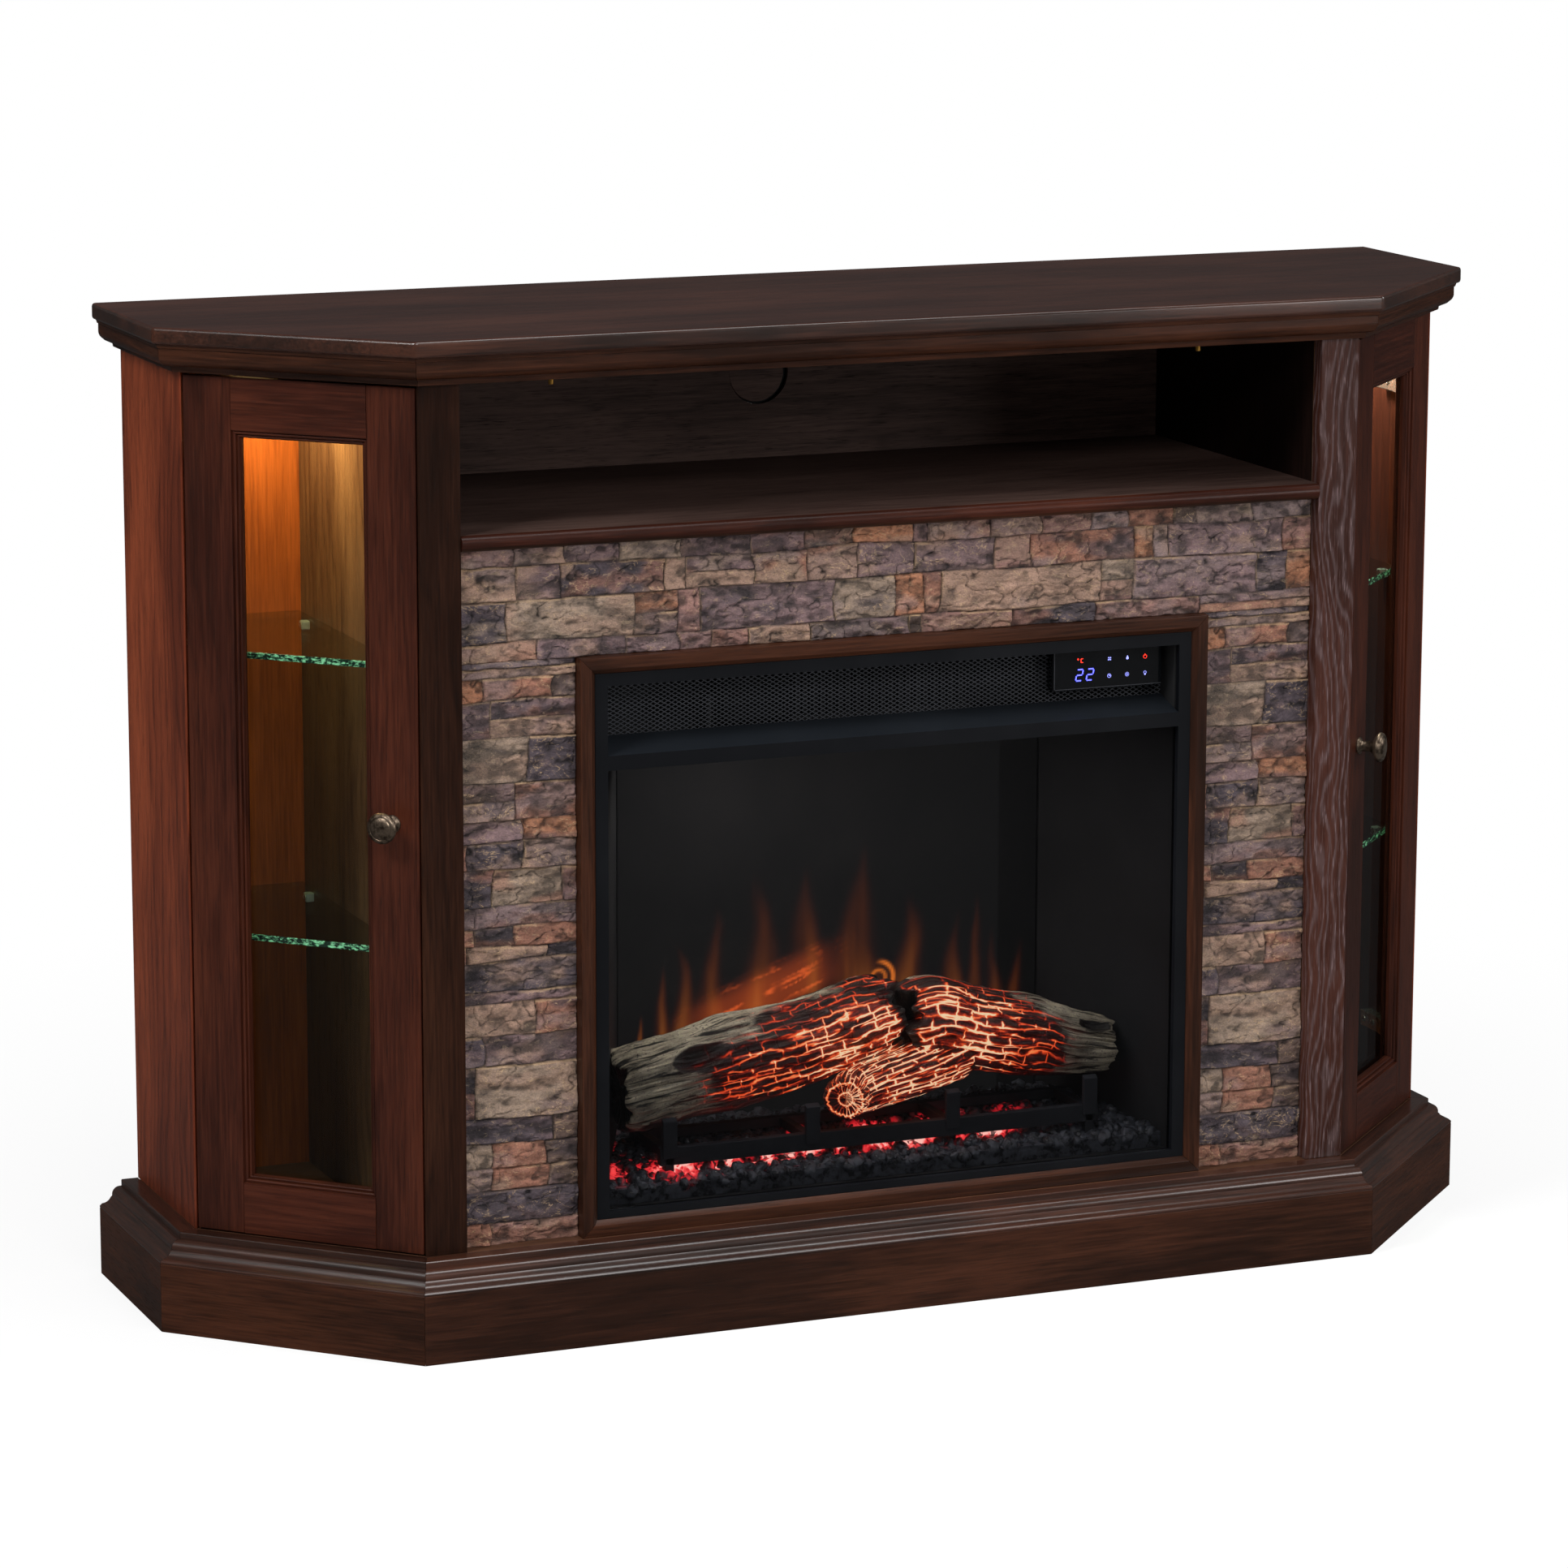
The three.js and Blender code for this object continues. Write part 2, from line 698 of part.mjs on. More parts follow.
/** The firebox front: bezel, rear rim, and the crossbar whose ledge slopes back to the grille. */
function addInsertFront() {
  const opening = [rectangle(-openHalf, openHalf, windowBottom, windowTop),
    rectangle(-openHalf, openHalf, lipTop, airTop)];
  const outer = rectangle(-insertHalf, insertHalf, insertBottom, insertTop);
  const inner = rectangle(-insertHalf + rimWidth, insertHalf - rimWidth,
    insertBottom + rimWidth, insertTop - rimWidth);
  const ledge = [
    [bezelRecess, windowTop],
    [bezelBack, windowTop],
    [bezelBack, lipTop - ledgeThickness - ledgeHaunch],
    [bezelBack + ledgeReach, lipTop + ledgeRise - ledgeThickness],
    [bezelBack + ledgeReach, lipTop + ledgeRise],
    [bezelRecess, lipTop],
  ];
  add('insert_front', join(
    slab(outer, bezelRecess, bezelBack, opening),
    slab(outer, bezelBack - bite, rimBack, [inner]),
    bar(ledge, -openHalf + seatGap, openHalf - seatGap),
  ), blackSteel);
}

/** Plan of the fire chamber, which narrows to the flame screen and then runs straight back. */
function chamberPlan(grow, front, back) {
  const end = screenHalfWidth + screenClearance + grow;
  return [
    [-openHalf - grow, front],
    [-openHalf - grow, flangeFront],
    [-end, screenFront],
    [-end, back],
    [end, back],
    [end, screenFront],
    [openHalf + grow, flangeFront],
    [openHalf + grow, front],
  ];
}

/** The room inside the chamber for what lies in it, clear of the walls by a gap. */
function fireRoom(gap) {
  const plan = chamberPlan(-gap, flangeFront - bite, fireboxBack - sheet - gap);
  const behindWindow = box(-openHalf, openHalf, 0, flangeFront + windowGap, 0, windowTop);
  return cut(prism(plan, fireboxFloor + seatGap, windowTop - gap), behindWindow);
}

/** The firebox: a tapering steel box open at the front, with the air duct over it. */
function addFireboxCase() {
  const shellPlan = chamberPlan(sheet, flangeFront, fireboxBack).slice(1, -1);
  const chamberShell = prism(shellPlan, fireboxFloor - sheet, windowTop + sheet);
  const ductShell = box(-openHalf - sheet, openHalf + sheet, flangeFront, flangeFront + ductDepth,
    windowTop, ductTop + sheet);
  const flange = box(-insertHalf, insertHalf, flangeFront, flangeFront + flangeThickness,
    insertBottom, insertTop);
  const runner = (x) => box(x - runnerWidth / 2, x + runnerWidth / 2,
    stoneRecess + stoneThickness + runnerSetback, fireboxBack - sheet, deckTop, fireboxFloor - sheet + bite);
  const bearingFace = -blowerLength / 2 - shaftEnd - seatGap;
  const bearing = box(bearingFace - bearingThickness, bearingFace, blowerAxisY() - bearingHalfWidth,
    blowerAxisY() + bearingHalfWidth, ductFloor - bite, blowerAxisZ() + bearingRise);
  const pivotFace = -rotorLength / 2 - shaftEnd - seatGap;
  const pivot = box(pivotFace - pivotThickness, pivotFace, rotorAxisY() - pivotHalfWidth,
    rotorAxisY() + pivotHalfWidth, fireboxFloor - bite, rotorAxisZ() + bearingRise);
  const gland = new THREE.CylinderGeometry(glandDiameter / 2, glandDiameter / 2, glandReach + bite, 16);
  gland.translate(runnerSpacing / 2, fireboxBack + (glandReach - bite) / 2, fireboxFloor + glandHeight);
  const body = surface(
    [ductShell, flange, runner(-runnerSpacing / 2), runner(runnerSpacing / 2), gland]
      .map(solid)
      .reduce((whole, piece) => whole.add(piece), solid(chamberShell)),
  );
  const chamberRoom = prism(chamberPlan(0, flangeFront - bite, fireboxBack - sheet), fireboxFloor,
    windowTop);
  const ductRoom = box(-openHalf, openHalf, flangeFront - bite, flangeFront + ductDepth - sheet,
    ductFloor, ductTop);
  add('firebox_case', join(cut(body, chamberRoom, ductRoom), bearing, pivot), blackSteel);
}

/** Depth of the blower's axis. */
function blowerAxisY() {
  return grilleFront + blowerSetback;
}

/** Height of the blower's axis. */
function blowerAxisZ() {
  return (ductFloor + ductTop) / 2;
}

/** Depth of the flame rotor's axis. */
function rotorAxisY() {
  return screenFront + rotorSetback;
}

/** Height of the flame rotor's axis. */
function rotorAxisZ() {
  return fireboxFloor + rotorHeight;
}

/** The window, the diamond grille, the control panel and the flame screen. */
function addInsertPanes() {
  const glassEdge = insertHalf - rimWidth - glazingGap;
  const glassFront = bezelBack + seatGap / 2;
  add('window_glass', box(-glassEdge, glassEdge, glassFront, glassFront + windowThickness,
    insertBottom + rimWidth + glazingGap, windowTop + sheet), blackGlass);

  const bottom = lipTop + ledgeRise - ledgeThickness;
  const end = openHalf - seatGap;
  const cellWidth = (2 * (end - grilleEdge)) / grilleColumns;
  const cellHeight = (airTop - seatGap - bottom - 2 * grilleEdge) / grilleRows;
  const diamonds = [];
  for (let row = 0; row < grilleRows; row += 1) {
    for (let column = 0; column < grilleColumns; column += 1) {
      const x = -end + grilleEdge + (column + 0.5) * cellWidth;
      const z = bottom + grilleEdge + (row + 0.5) * cellHeight;
      const [w, h] = [(cellWidth - grilleStrand) / 2, (cellHeight - grilleStrand / 2) / 2];
      diamonds.push([[x - w, z], [x, z - h], [x + w, z], [x, z + h]]);
    }
  }
  const mesh = rectangle(-end, end, bottom, airTop + sheet - seatGap);
  add('air_grille', slab(mesh, grilleFront, grilleFront + grilleThickness, diamonds), ironwork);

  const panelRight = openHalf - panelInset;
  const panelBack = grilleFront - panelStandOff;
  const panelTop = airTop - panelDrop;
  const panelMiddle = panelRight - panelWidth / 2;
  const panelBox = box(panelRight - panelWidth, panelRight, panelBack - panelThickness, panelBack,
    panelTop - panelHeight, panelTop);
  const bracket = box(panelMiddle - bracketWidth / 2, panelMiddle + bracketWidth / 2, panelBack - bite,
    grilleFront - seatGap, panelTop - panelHeight + bracketMargin, panelTop - bracketMargin);
  add('control_panel', join(panelBox, bracket), blackGlass);

  add('flame_screen', box(-screenHalfWidth, screenHalfWidth, screenFront + bite,
    screenFront + bite + screenThickness, fireboxFloor + seatGap, windowTop - seatGap), blackGlass);
}

/** The ember bed: a ramp that rises towards the screen. */
function addEmberBed() {
  const front = flangeFront + windowGap;
  const back = screenFront - sheet;
  const ramp = [
    [front, fireboxFloor + seatGap],
    [back, fireboxFloor + seatGap],
    [back, fireboxFloor + emberBackHeight],
    [front + emberShoulder, fireboxFloor + emberFrontHeight + emberShoulderRise],
    [front, fireboxFloor + emberFrontHeight],
  ];
  const bed = within(bar(ramp, -openHalf, openHalf), fireRoom(seatGap));
  add('ember_bed', cut(bed, ...grateSockets()), coal);
}

/** Where the grate's bars lie, from left to right. */
function grateBarPlaces() {
  return Array.from({ length: grateFingers }, (_, i) => (
    (i / (grateFingers - 1) - 0.5) * (grateWidth - 2 * grateBar)));
}

const grateFront = bezelBack + windowThickness + grateSetback;
const grateTop = fireboxFloor + grateHeight;

/** Pockets in the ember bed for the grate's legs. */
function grateSockets() {
  const reach = grateBar / 2 + seatGap;
  return [grateBarPlaces()[0], grateBarPlaces()[grateFingers - 1]].flatMap((x) => (
    [grateFront, grateFront + grateDepth].map((y) => box(x - reach, x + reach, y - reach, y + reach,
      fireboxFloor + grateLegFoot, grateTop))));
}

/** The grate: a front bar, cross bars with upturned fingers, and four legs. */
function addGrate() {
  const reach = grateBar / 2;
  const leg = reach - grateLegSlim;
  const back = grateFront + grateDepth;
  const places = grateBarPlaces();
  const rail = (y) => box(-grateWidth / 2, grateWidth / 2, y - reach, y + reach,
    grateTop - grateBar, grateTop);
  const pieces = [rail(grateFront), rail(back)];
  for (const x of places) {
    pieces.push(box(x - reach, x + reach, grateFront - reach, back + reach, grateTop - grateBar, grateTop));
    pieces.push(box(x - reach, x + reach, grateFront - reach - grateFingerOut,
      grateFront + reach - grateFingerOut, grateTop - grateBar + grateFingerOut, grateTop + grateFingerRise));
  }
  for (const x of [places[0], places[places.length - 1]]) {
    for (const y of [grateFront, back]) {
      pieces.push(box(x - leg, x + leg, y - leg, y + leg, fireboxFloor + grateLegFoot + seatGap,
        grateTop - bite));
    }
  }
  add('fire_grate', join(...pieces), ironwork);
}

/** A tapering log between two points, swelling a little along its length. */
function logBody(from, to, startRadius, endRadius) {
  const [sides, steps, swell, waves] = [12, 8, 0.05, 9];
  const [a, b] = [new THREE.Vector3(...from), new THREE.Vector3(...to)];
  const along = b.clone().sub(a);
  const profile = Array.from({ length: steps + 1 }, (_, i) => {
    const t = i / steps;
    const radius = (startRadius + (endRadius - startRadius) * t) * (1 + swell * Math.sin(t * waves));
    return new THREE.Vector2(radius, t * along.length());
  });
  const outline = [new THREE.Vector2(0, 0), ...profile, new THREE.Vector2(0, along.length())];
  const geometry = new THREE.LatheGeometry(outline, sides);
  const turn = new THREE.Quaternion().setFromUnitVectors(new THREE.Vector3(0, 1, 0), along.normalize());
  return geometry.applyQuaternion(turn).translate(...from);
}

/** A log across the grate, fatter all round by `grow`. */
function grateLog(log, grow) {
  const radius = logDiameter / 2;
  const rest = grateTop + radius + logClearance;
  const middle = grateFront + grateDepth / 2;
  const from = [log.start, middle + log.back, rest + log.lift];
  const to = [log.start + log.length, middle + log.back + log.skew, rest + log.lift + log.tilt];
  const [first, last] = log.tilt > 0 ? [log.taper, 1] : [1, log.taper];
  return logBody(from, to, radius * first + grow, radius * last + grow);
}

/** Two logs on the grate, and the short split one in front that is moulded with the right log. */
function addLogs() {
  const radius = logDiameter / 2;
  const floor = box(-insertHalf, insertHalf, 0, fireboxBack, fireboxFloor, grateTop + seatGap);
  const fingers = grateBarPlaces().map((x) => box(x - grateBar / 2 - logNotchMargin,
    x + grateBar / 2 + logNotchMargin, grateFront - grateBar, grateFront + grateBar / 2 - bite,
    grateTop - bite, grateTop + grateFingerRise + logNotchMargin));
  const room = fireRoom(1);
  add('log_left', cut(within(grateLog(leftLog, 0), room), floor, ...fingers), charredWood);

  const nose = [frontStub.start, grateFront + grateDepth / 2 + frontStub.back,
    grateTop + radius + logClearance - frontStub.drop];
  const tail = [nose[0] + frontStub.run, nose[1] + frontStub.length, nose[2] + frontStub.rise];
  const stub = logBody(nose, tail, radius * frontStub.nose, radius * frontStub.tail);
  const right = within(join(grateLog(rightLog, 0), stub), room);
  add('log_right', cut(right, grateLog(leftLog, logNotchMargin / 3), floor, ...fingers), charredWood);
}

/** A squirrel-cage blower and its motor. */
function addBlower() {
  const [y, z] = [blowerAxisY(), blowerAxisZ()];
  const end = blowerLength / 2;
  const radius = blowerDiameter / 2;
  const discs = [-end, -blowerDisc / 2, end - blowerDisc];
  const pieces = discs.map((x) => rod(radius, x, x + blowerDisc, y, z, 24));
  pieces.push(rod(shaftDiameter / 2, -end - shaftEnd, end + shaftEnd, y, z));
  for (let i = 0; i < blowerVanes; i += 1) {
    const angle = (i / blowerVanes) * 2 * Math.PI;
    const vane = box(-end + bite, end - bite, -vaneThickness / 2, vaneThickness / 2,
      radius - blowerVaneWidth - bite, radius - bite);
    pieces.push(vane.rotateX(angle).translate(0, y, z));
  }
  add('blower_wheel', join(...pieces), castAluminium);

  const motorStart = end + shaftEnd + seatGap;
  const motorEnd = motorStart + motorLength;
  const foot = box(motorStart + motorFootInset, motorEnd - motorFootInset, y - motorFootWidth / 2,
    y + motorFootWidth / 2, ductFloor + seatGap, z);
  add('blower_motor', join(rod(motorDiameter / 2, motorStart, motorEnd, y, z, 24), foot), blackSteel);
}

/** The finned heater behind the grille, on two legs. */
function addHeater() {
  const front = grilleFront + grilleThickness + heaterSetback;
  const back = front + heaterDepth;
  const bottom = ductFloor + heaterLegHeight;
  const top = ductTop - heaterHeadroom;
  const end = heaterWidth / 2;
  const pitch = heaterWidth / heaterFins;
  const fins = Array.from({ length: heaterFins }, (_, i) => (
    box(-end + i * pitch, -end + (i + 1) * pitch - heaterFinGap, front, back, bottom, top)));
  const rail = (z) => box(-end - heaterRailEnd, end + heaterRailEnd, front - bite / 2, back - bite / 2,
    z - heaterRail / 2, z + heaterRail / 2);
  const legs = [-end, end].map((x) => box(x - heaterLegWidth / 2, x + heaterLegWidth / 2, front,
    front + heaterLegDepth, ductFloor + seatGap, bottom));
  add('heater_element', join(rail(bottom), rail(top), ...fins, ...legs), castAluminium);
}

/** The flame rotor: a slow shaft with foil paddles that throws the light on the screen. */
function addFlameRotor() {
  const [y, z] = [rotorAxisY(), rotorAxisZ()];
  const end = rotorLength / 2;
  const pitch = rotorLength / rotorPaddles;
  const reach = (pitch * rotorFill) / 2;
  const pieces = [rod(shaftDiameter / 2, -end - shaftEnd, end + shaftEnd, y, z)];
  for (let i = 0; i < rotorPaddles; i += 1) {
    const x = -end + (i + 0.5) * pitch;
    const paddle = box(-reach, reach, -rotorFoil / 2, rotorFoil / 2, -rotorRadius, rotorRadius);
    pieces.push(paddle.rotateX((i * Math.PI) / 3).translate(x, y, z));
  }
  add('flame_rotor', join(...pieces), castAluminium);

  const start = end + shaftEnd + seatGap;
  const motorEnd = screenHalfWidth - seatGap;
  const body = rod(rotorMotorDiameter / 2, start, motorEnd, y, z, 20);
  const foot = box(start + rotorFootInset, motorEnd - rotorFootInset, y - rotorFootWidth / 2,
    y + rotorFootWidth / 2, fireboxFloor + seatGap, z);
  add('rotor_motor', join(body, foot), blackSteel);
}

/** Two glass shelves a side, cut back parallel to the door. */
function addGlassShelves() {
  const inward = doorThickness + shelfDoorClearance;
  const wall = -caseHalf + boardThickness + shelfClearance;
  const inner = -frontHalf - shelfClearance;
  const line = inward * Math.SQRT2 - frontHalf;
  const outline = [
    [wall, line - wall],
    [inner, line - inner],
    [inner, backFace - shelfClearance],
    [wall, backFace - shelfClearance],
  ];
  for (const [level, name] of [[upperShelfTop, 'upper'], [lowerShelfTop, 'lower']]) {
    const shelf = prism(outline, level - shelfGlass + seatGap, level + seatGap);
    addPair(`glass_shelf_*_${name}`, shelf, clearGlass);
  }
}

/** A lamp under the top in each cabinet. */
function addPuckLights() {
  const radius = puckDiameter / 2;
  const lamp = new THREE.CylinderGeometry(radius, radius, puckThickness, 32).rotateX(Math.PI / 2);
  lamp.translate(-(frontHalf + caseHalf - boardThickness) / 2, (facetRun + backFace) / 2 - radius / 2,
    topBottom - seatGap - puckThickness / 2);
  addPair('puck_light_*', lamp, lampLens);
}

/** One door in its own frame: x from the hinge axis, y inward from the axis, z up. */
function doorPieces() {
  const start = doorGap / 2;
  const end = start + doorWidth;
  const front = pivotOut;
  const ring = (inset) => rectangle(start + inset, end - inset, doorBottom + inset, doorTop - inset);
  const frame = slab(ring(0), front, front + doorThickness, [ring(doorStile)]);
  const beadFront = front + doorBeadRecess;
  const bead = slab(ring(doorStile - bite), beadFront, beadFront + doorBeadDepth,
    [ring(doorStile + doorBead)]);
  const paneFront = beadFront + doorBeadDepth + seatGap;
  const pane = slab(ring(doorStile + glazingGap), paneFront, paneFront + doorGlass);
  const rim = knobDiameter / 2;
  const stem = knobStem / 2;
  const head = knobReach - knobHeadLength;
  const profile = [
    [0, 0],
    [stem + knobCollar, 0],
    [stem + knobCollar, knobCollar],
    [stem, knobCollar * 1.5],
    [stem, head],
    [rim - knobDish, head + knobHeadLength * 0.35],
    [rim, head + knobHeadLength * 0.6],
    [rim - knobDish * 0.2, knobReach - knobHeadLength * 0.16],
    [rim - knobDish, knobReach - knobHeadLength * 0.04],
    [0, knobReach],
  ].map(([radius, height]) => new THREE.Vector2(radius, height));
  const knob = new THREE.LatheGeometry(profile, 28).rotateX(Math.PI);
  knob.translate(end - knobFromEdge, front - seatGap, knobHeight);
  return { frame: join(frame, bead), pane, knob };
}

/** Both doors, each hung on its outer edge. */
function addDoors() {
  const { frame, pane, knob } = doorPieces();
  const [x, y] = facetPoint(facetLength - returnWidth - doorGap / 2, -pivotOut);
  for (const [side, sign] of [['left', 1], ['right', -1]]) {
    const leaf = new THREE.Group();
    leaf.position.set(sign * x, y, 0);
    leaf.rotation.z = (-sign * Math.PI) / 4;
    fireplace.add(leaf);
    const turned = (geometry) => (sign > 0 ? geometry : mirrored(geometry));
    add(`door_frame_${side}`, turned(frame), mahogany, leaf);
    add(`door_glass_${side}`, turned(pane), clearGlass, leaf);
    add(`door_knob_${side}`, turned(knob), bronze, leaf);
  }
}

/** Concealed hinge arms, screwed to the side panels and reaching to the doors. */
function addHinges() {
  const wall = -caseHalf + boardThickness + seatGap;
  const reach = doorThickness + hingeSeat;
  const start = facetLength - returnWidth - doorGap - hingeThickness / 2;
  const corner = facetPoint(start, reach);
  const farther = facetPoint(start - hingeThickness, reach);
  const outline = [
    corner,
    farther,
    [farther[0] + hingeSplay, farther[1] + hingeNeck],
    [wall + hingeThickness, farther[1] + hingeShoulder],
    [wall + hingeThickness, corner[1] + hingeReach],
    [wall, corner[1] + hingeReach],
    [wall, corner[1] + (corner[0] - wall)],
  ];
  for (const [name, z] of [['upper', doorTop - hingeFromEnd], ['lower', doorBottom + hingeFromEnd]]) {
    addPair(`hinge_*_${name}`, prism(outline, z - hingeWidth / 2, z + hingeWidth / 2), nickel);
  }
}

addPlinth();
addBaseMoulding();
addDeck();
addUprights();
addBacks();
addMediaShelf();
addCrown();
addTop();
addStone();
addTrim();
addInsertFront();
addFireboxCase();
addInsertPanes();
addEmberBed();
addGrate();
addLogs();
addBlower();
addHeater();
addFlameRotor();
addGlassShelves();
addPuckLights();
addDoors();
addHinges();

console.log(`overall ${(2 * (caseHalf + plinthOverhang)).toFixed(1)} x `
  + `${(caseDepth + plinthOverhang).toFixed(1)} x ${overallHeight.toFixed(1)} mm`);

export default fireplace;
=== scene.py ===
"""Looks of a corner fireplace: a mahogany console with lit corner cabinets, a ledgestone surround and
an electric firebox with glowing logs.

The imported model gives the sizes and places. Lengths are in metres in its frame: +X to the right of
someone who faces the fire, +Y towards the wall, +Z up, with the origin on the floor.
"""
from __future__ import annotations

import json
import logging
import math
from collections.abc import Callable, Iterator, Mapping, Sequence
from contextlib import contextmanager
from dataclasses import dataclass
from enum import Enum
from functools import cache

import bmesh
import bpy
import numpy as np
from mathutils import Matrix, Vector


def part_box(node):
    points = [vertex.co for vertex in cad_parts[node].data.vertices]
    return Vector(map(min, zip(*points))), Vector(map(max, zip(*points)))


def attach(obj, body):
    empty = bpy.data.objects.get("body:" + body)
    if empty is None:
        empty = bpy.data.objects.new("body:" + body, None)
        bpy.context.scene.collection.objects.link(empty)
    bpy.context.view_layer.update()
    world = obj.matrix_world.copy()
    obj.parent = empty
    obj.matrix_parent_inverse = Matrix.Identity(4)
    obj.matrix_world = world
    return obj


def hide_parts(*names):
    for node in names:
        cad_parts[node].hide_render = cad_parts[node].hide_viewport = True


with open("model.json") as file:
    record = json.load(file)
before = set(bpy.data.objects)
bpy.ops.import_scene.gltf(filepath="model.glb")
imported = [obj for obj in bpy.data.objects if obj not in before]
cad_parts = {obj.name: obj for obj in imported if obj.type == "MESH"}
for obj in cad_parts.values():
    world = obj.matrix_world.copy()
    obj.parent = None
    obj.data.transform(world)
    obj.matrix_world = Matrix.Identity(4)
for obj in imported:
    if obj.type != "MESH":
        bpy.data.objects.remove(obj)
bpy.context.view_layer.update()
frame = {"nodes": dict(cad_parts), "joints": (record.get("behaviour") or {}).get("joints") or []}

MM = 0.001
BOARD = 15 * MM
FINE_MESH = 20000
MERGE = 0.000005
log = logging.getLogger("fireplace")

Screen = tuple[int, int, int]
Colour = Point = tuple[float, float, float]
Pair = tuple[float, float]
Profile = Sequence[Pair]
Array = np.ndarray
Piece = bpy.types.Object
Paint = bpy.types.Material


def srgb(red: int, green: int, blue: int) -> Colour:
    """A screen colour, 0 to 255 a channel, as linear light."""
    shares = (value / 255 for value in (red, green, blue))
    return tuple(c / 12.92 if c <= 0.04045 else ((c + 0.055) / 1.055) ** 2.4 for c in shares)


class Side(Enum):
    """The two mirrored halves of the console."""

    LEFT = -1
    RIGHT = 1

    @property
    def word(self) -> str:
        """The side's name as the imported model's nodes spell it."""
        return self.name.lower()

    @property
    def facet_grain(self) -> Grain:
        """The grain of a level board on this side's slanting front."""
        return Grain.FACET_LEFT if self is Side.LEFT else Grain.FACET_RIGHT


class Grain(Enum):
    """Which way a board's grain runs, as the turn that brings it onto the X axis."""

    ACROSS = (0.0, 0.0, 0.0)
    DEPTH = (0.0, 0.0, math.pi / 2)
    UPRIGHT = (0.0, math.pi / 2, 0.0)
    FACET_LEFT = (0.0, 0.0, math.pi / 4)
    FACET_RIGHT = (0.0, 0.0, -math.pi / 4)


# -------------------- shader maths


def operator(operation: str, reflected: bool = False) -> Callable[[Term, Term | float], Term]:
    """An operator method that adds one Math node, with its operands swapped where it is reflected."""
    def method(self: Term, other: Term | float) -> Term:
        """The result of the Math node."""
        return self.math(operation, *((other, self) if reflected else (self, other)))
    return method


class Term:
    """A socket in a material's maths. Arithmetic on it adds Math nodes."""

    def __init__(self, graph: Graph, socket: bpy.types.NodeSocket) -> None:
        self.graph = graph
        self.socket = socket

    def math(self, operation: str, *operands: Term | float) -> Term:
        """The result of one Math node on these operands."""
        node = self.graph.node("ShaderNodeMath", {"operation": operation}, dict(enumerate(operands)))
        return Term(self.graph, node.outputs[0])

    __add__, __radd__ = operator("ADD"), operator("ADD", True)
    __sub__, __rsub__ = operator("SUBTRACT"), operator("SUBTRACT", True)
    __mul__, __rmul__ = operator("MULTIPLY"), operator("MULTIPLY", True)
    __truediv__, __pow__ = operator("DIVIDE"), operator("POWER")

    def sine(self) -> Term:
        """The sine of self, in radians."""
        return self.math("SINE", self)

    def rise(self, low: float, high: float) -> Term:
        """0 below low, 1 above high and a smooth step between them."""
        node = self.graph.node("ShaderNodeMapRange", {"interpolation_type": "SMOOTHSTEP"},
                               {"Value": self, "From Min": low, "From Max": high})
        return Term(self.graph, node.outputs[0])

    def axis(self, name: str) -> Term:
        """One of a vector's X, Y and Z."""
        node = self.graph.node("ShaderNodeSeparateXYZ", inputs={"Vector": self})
        return Term(self.graph, node.outputs[name])


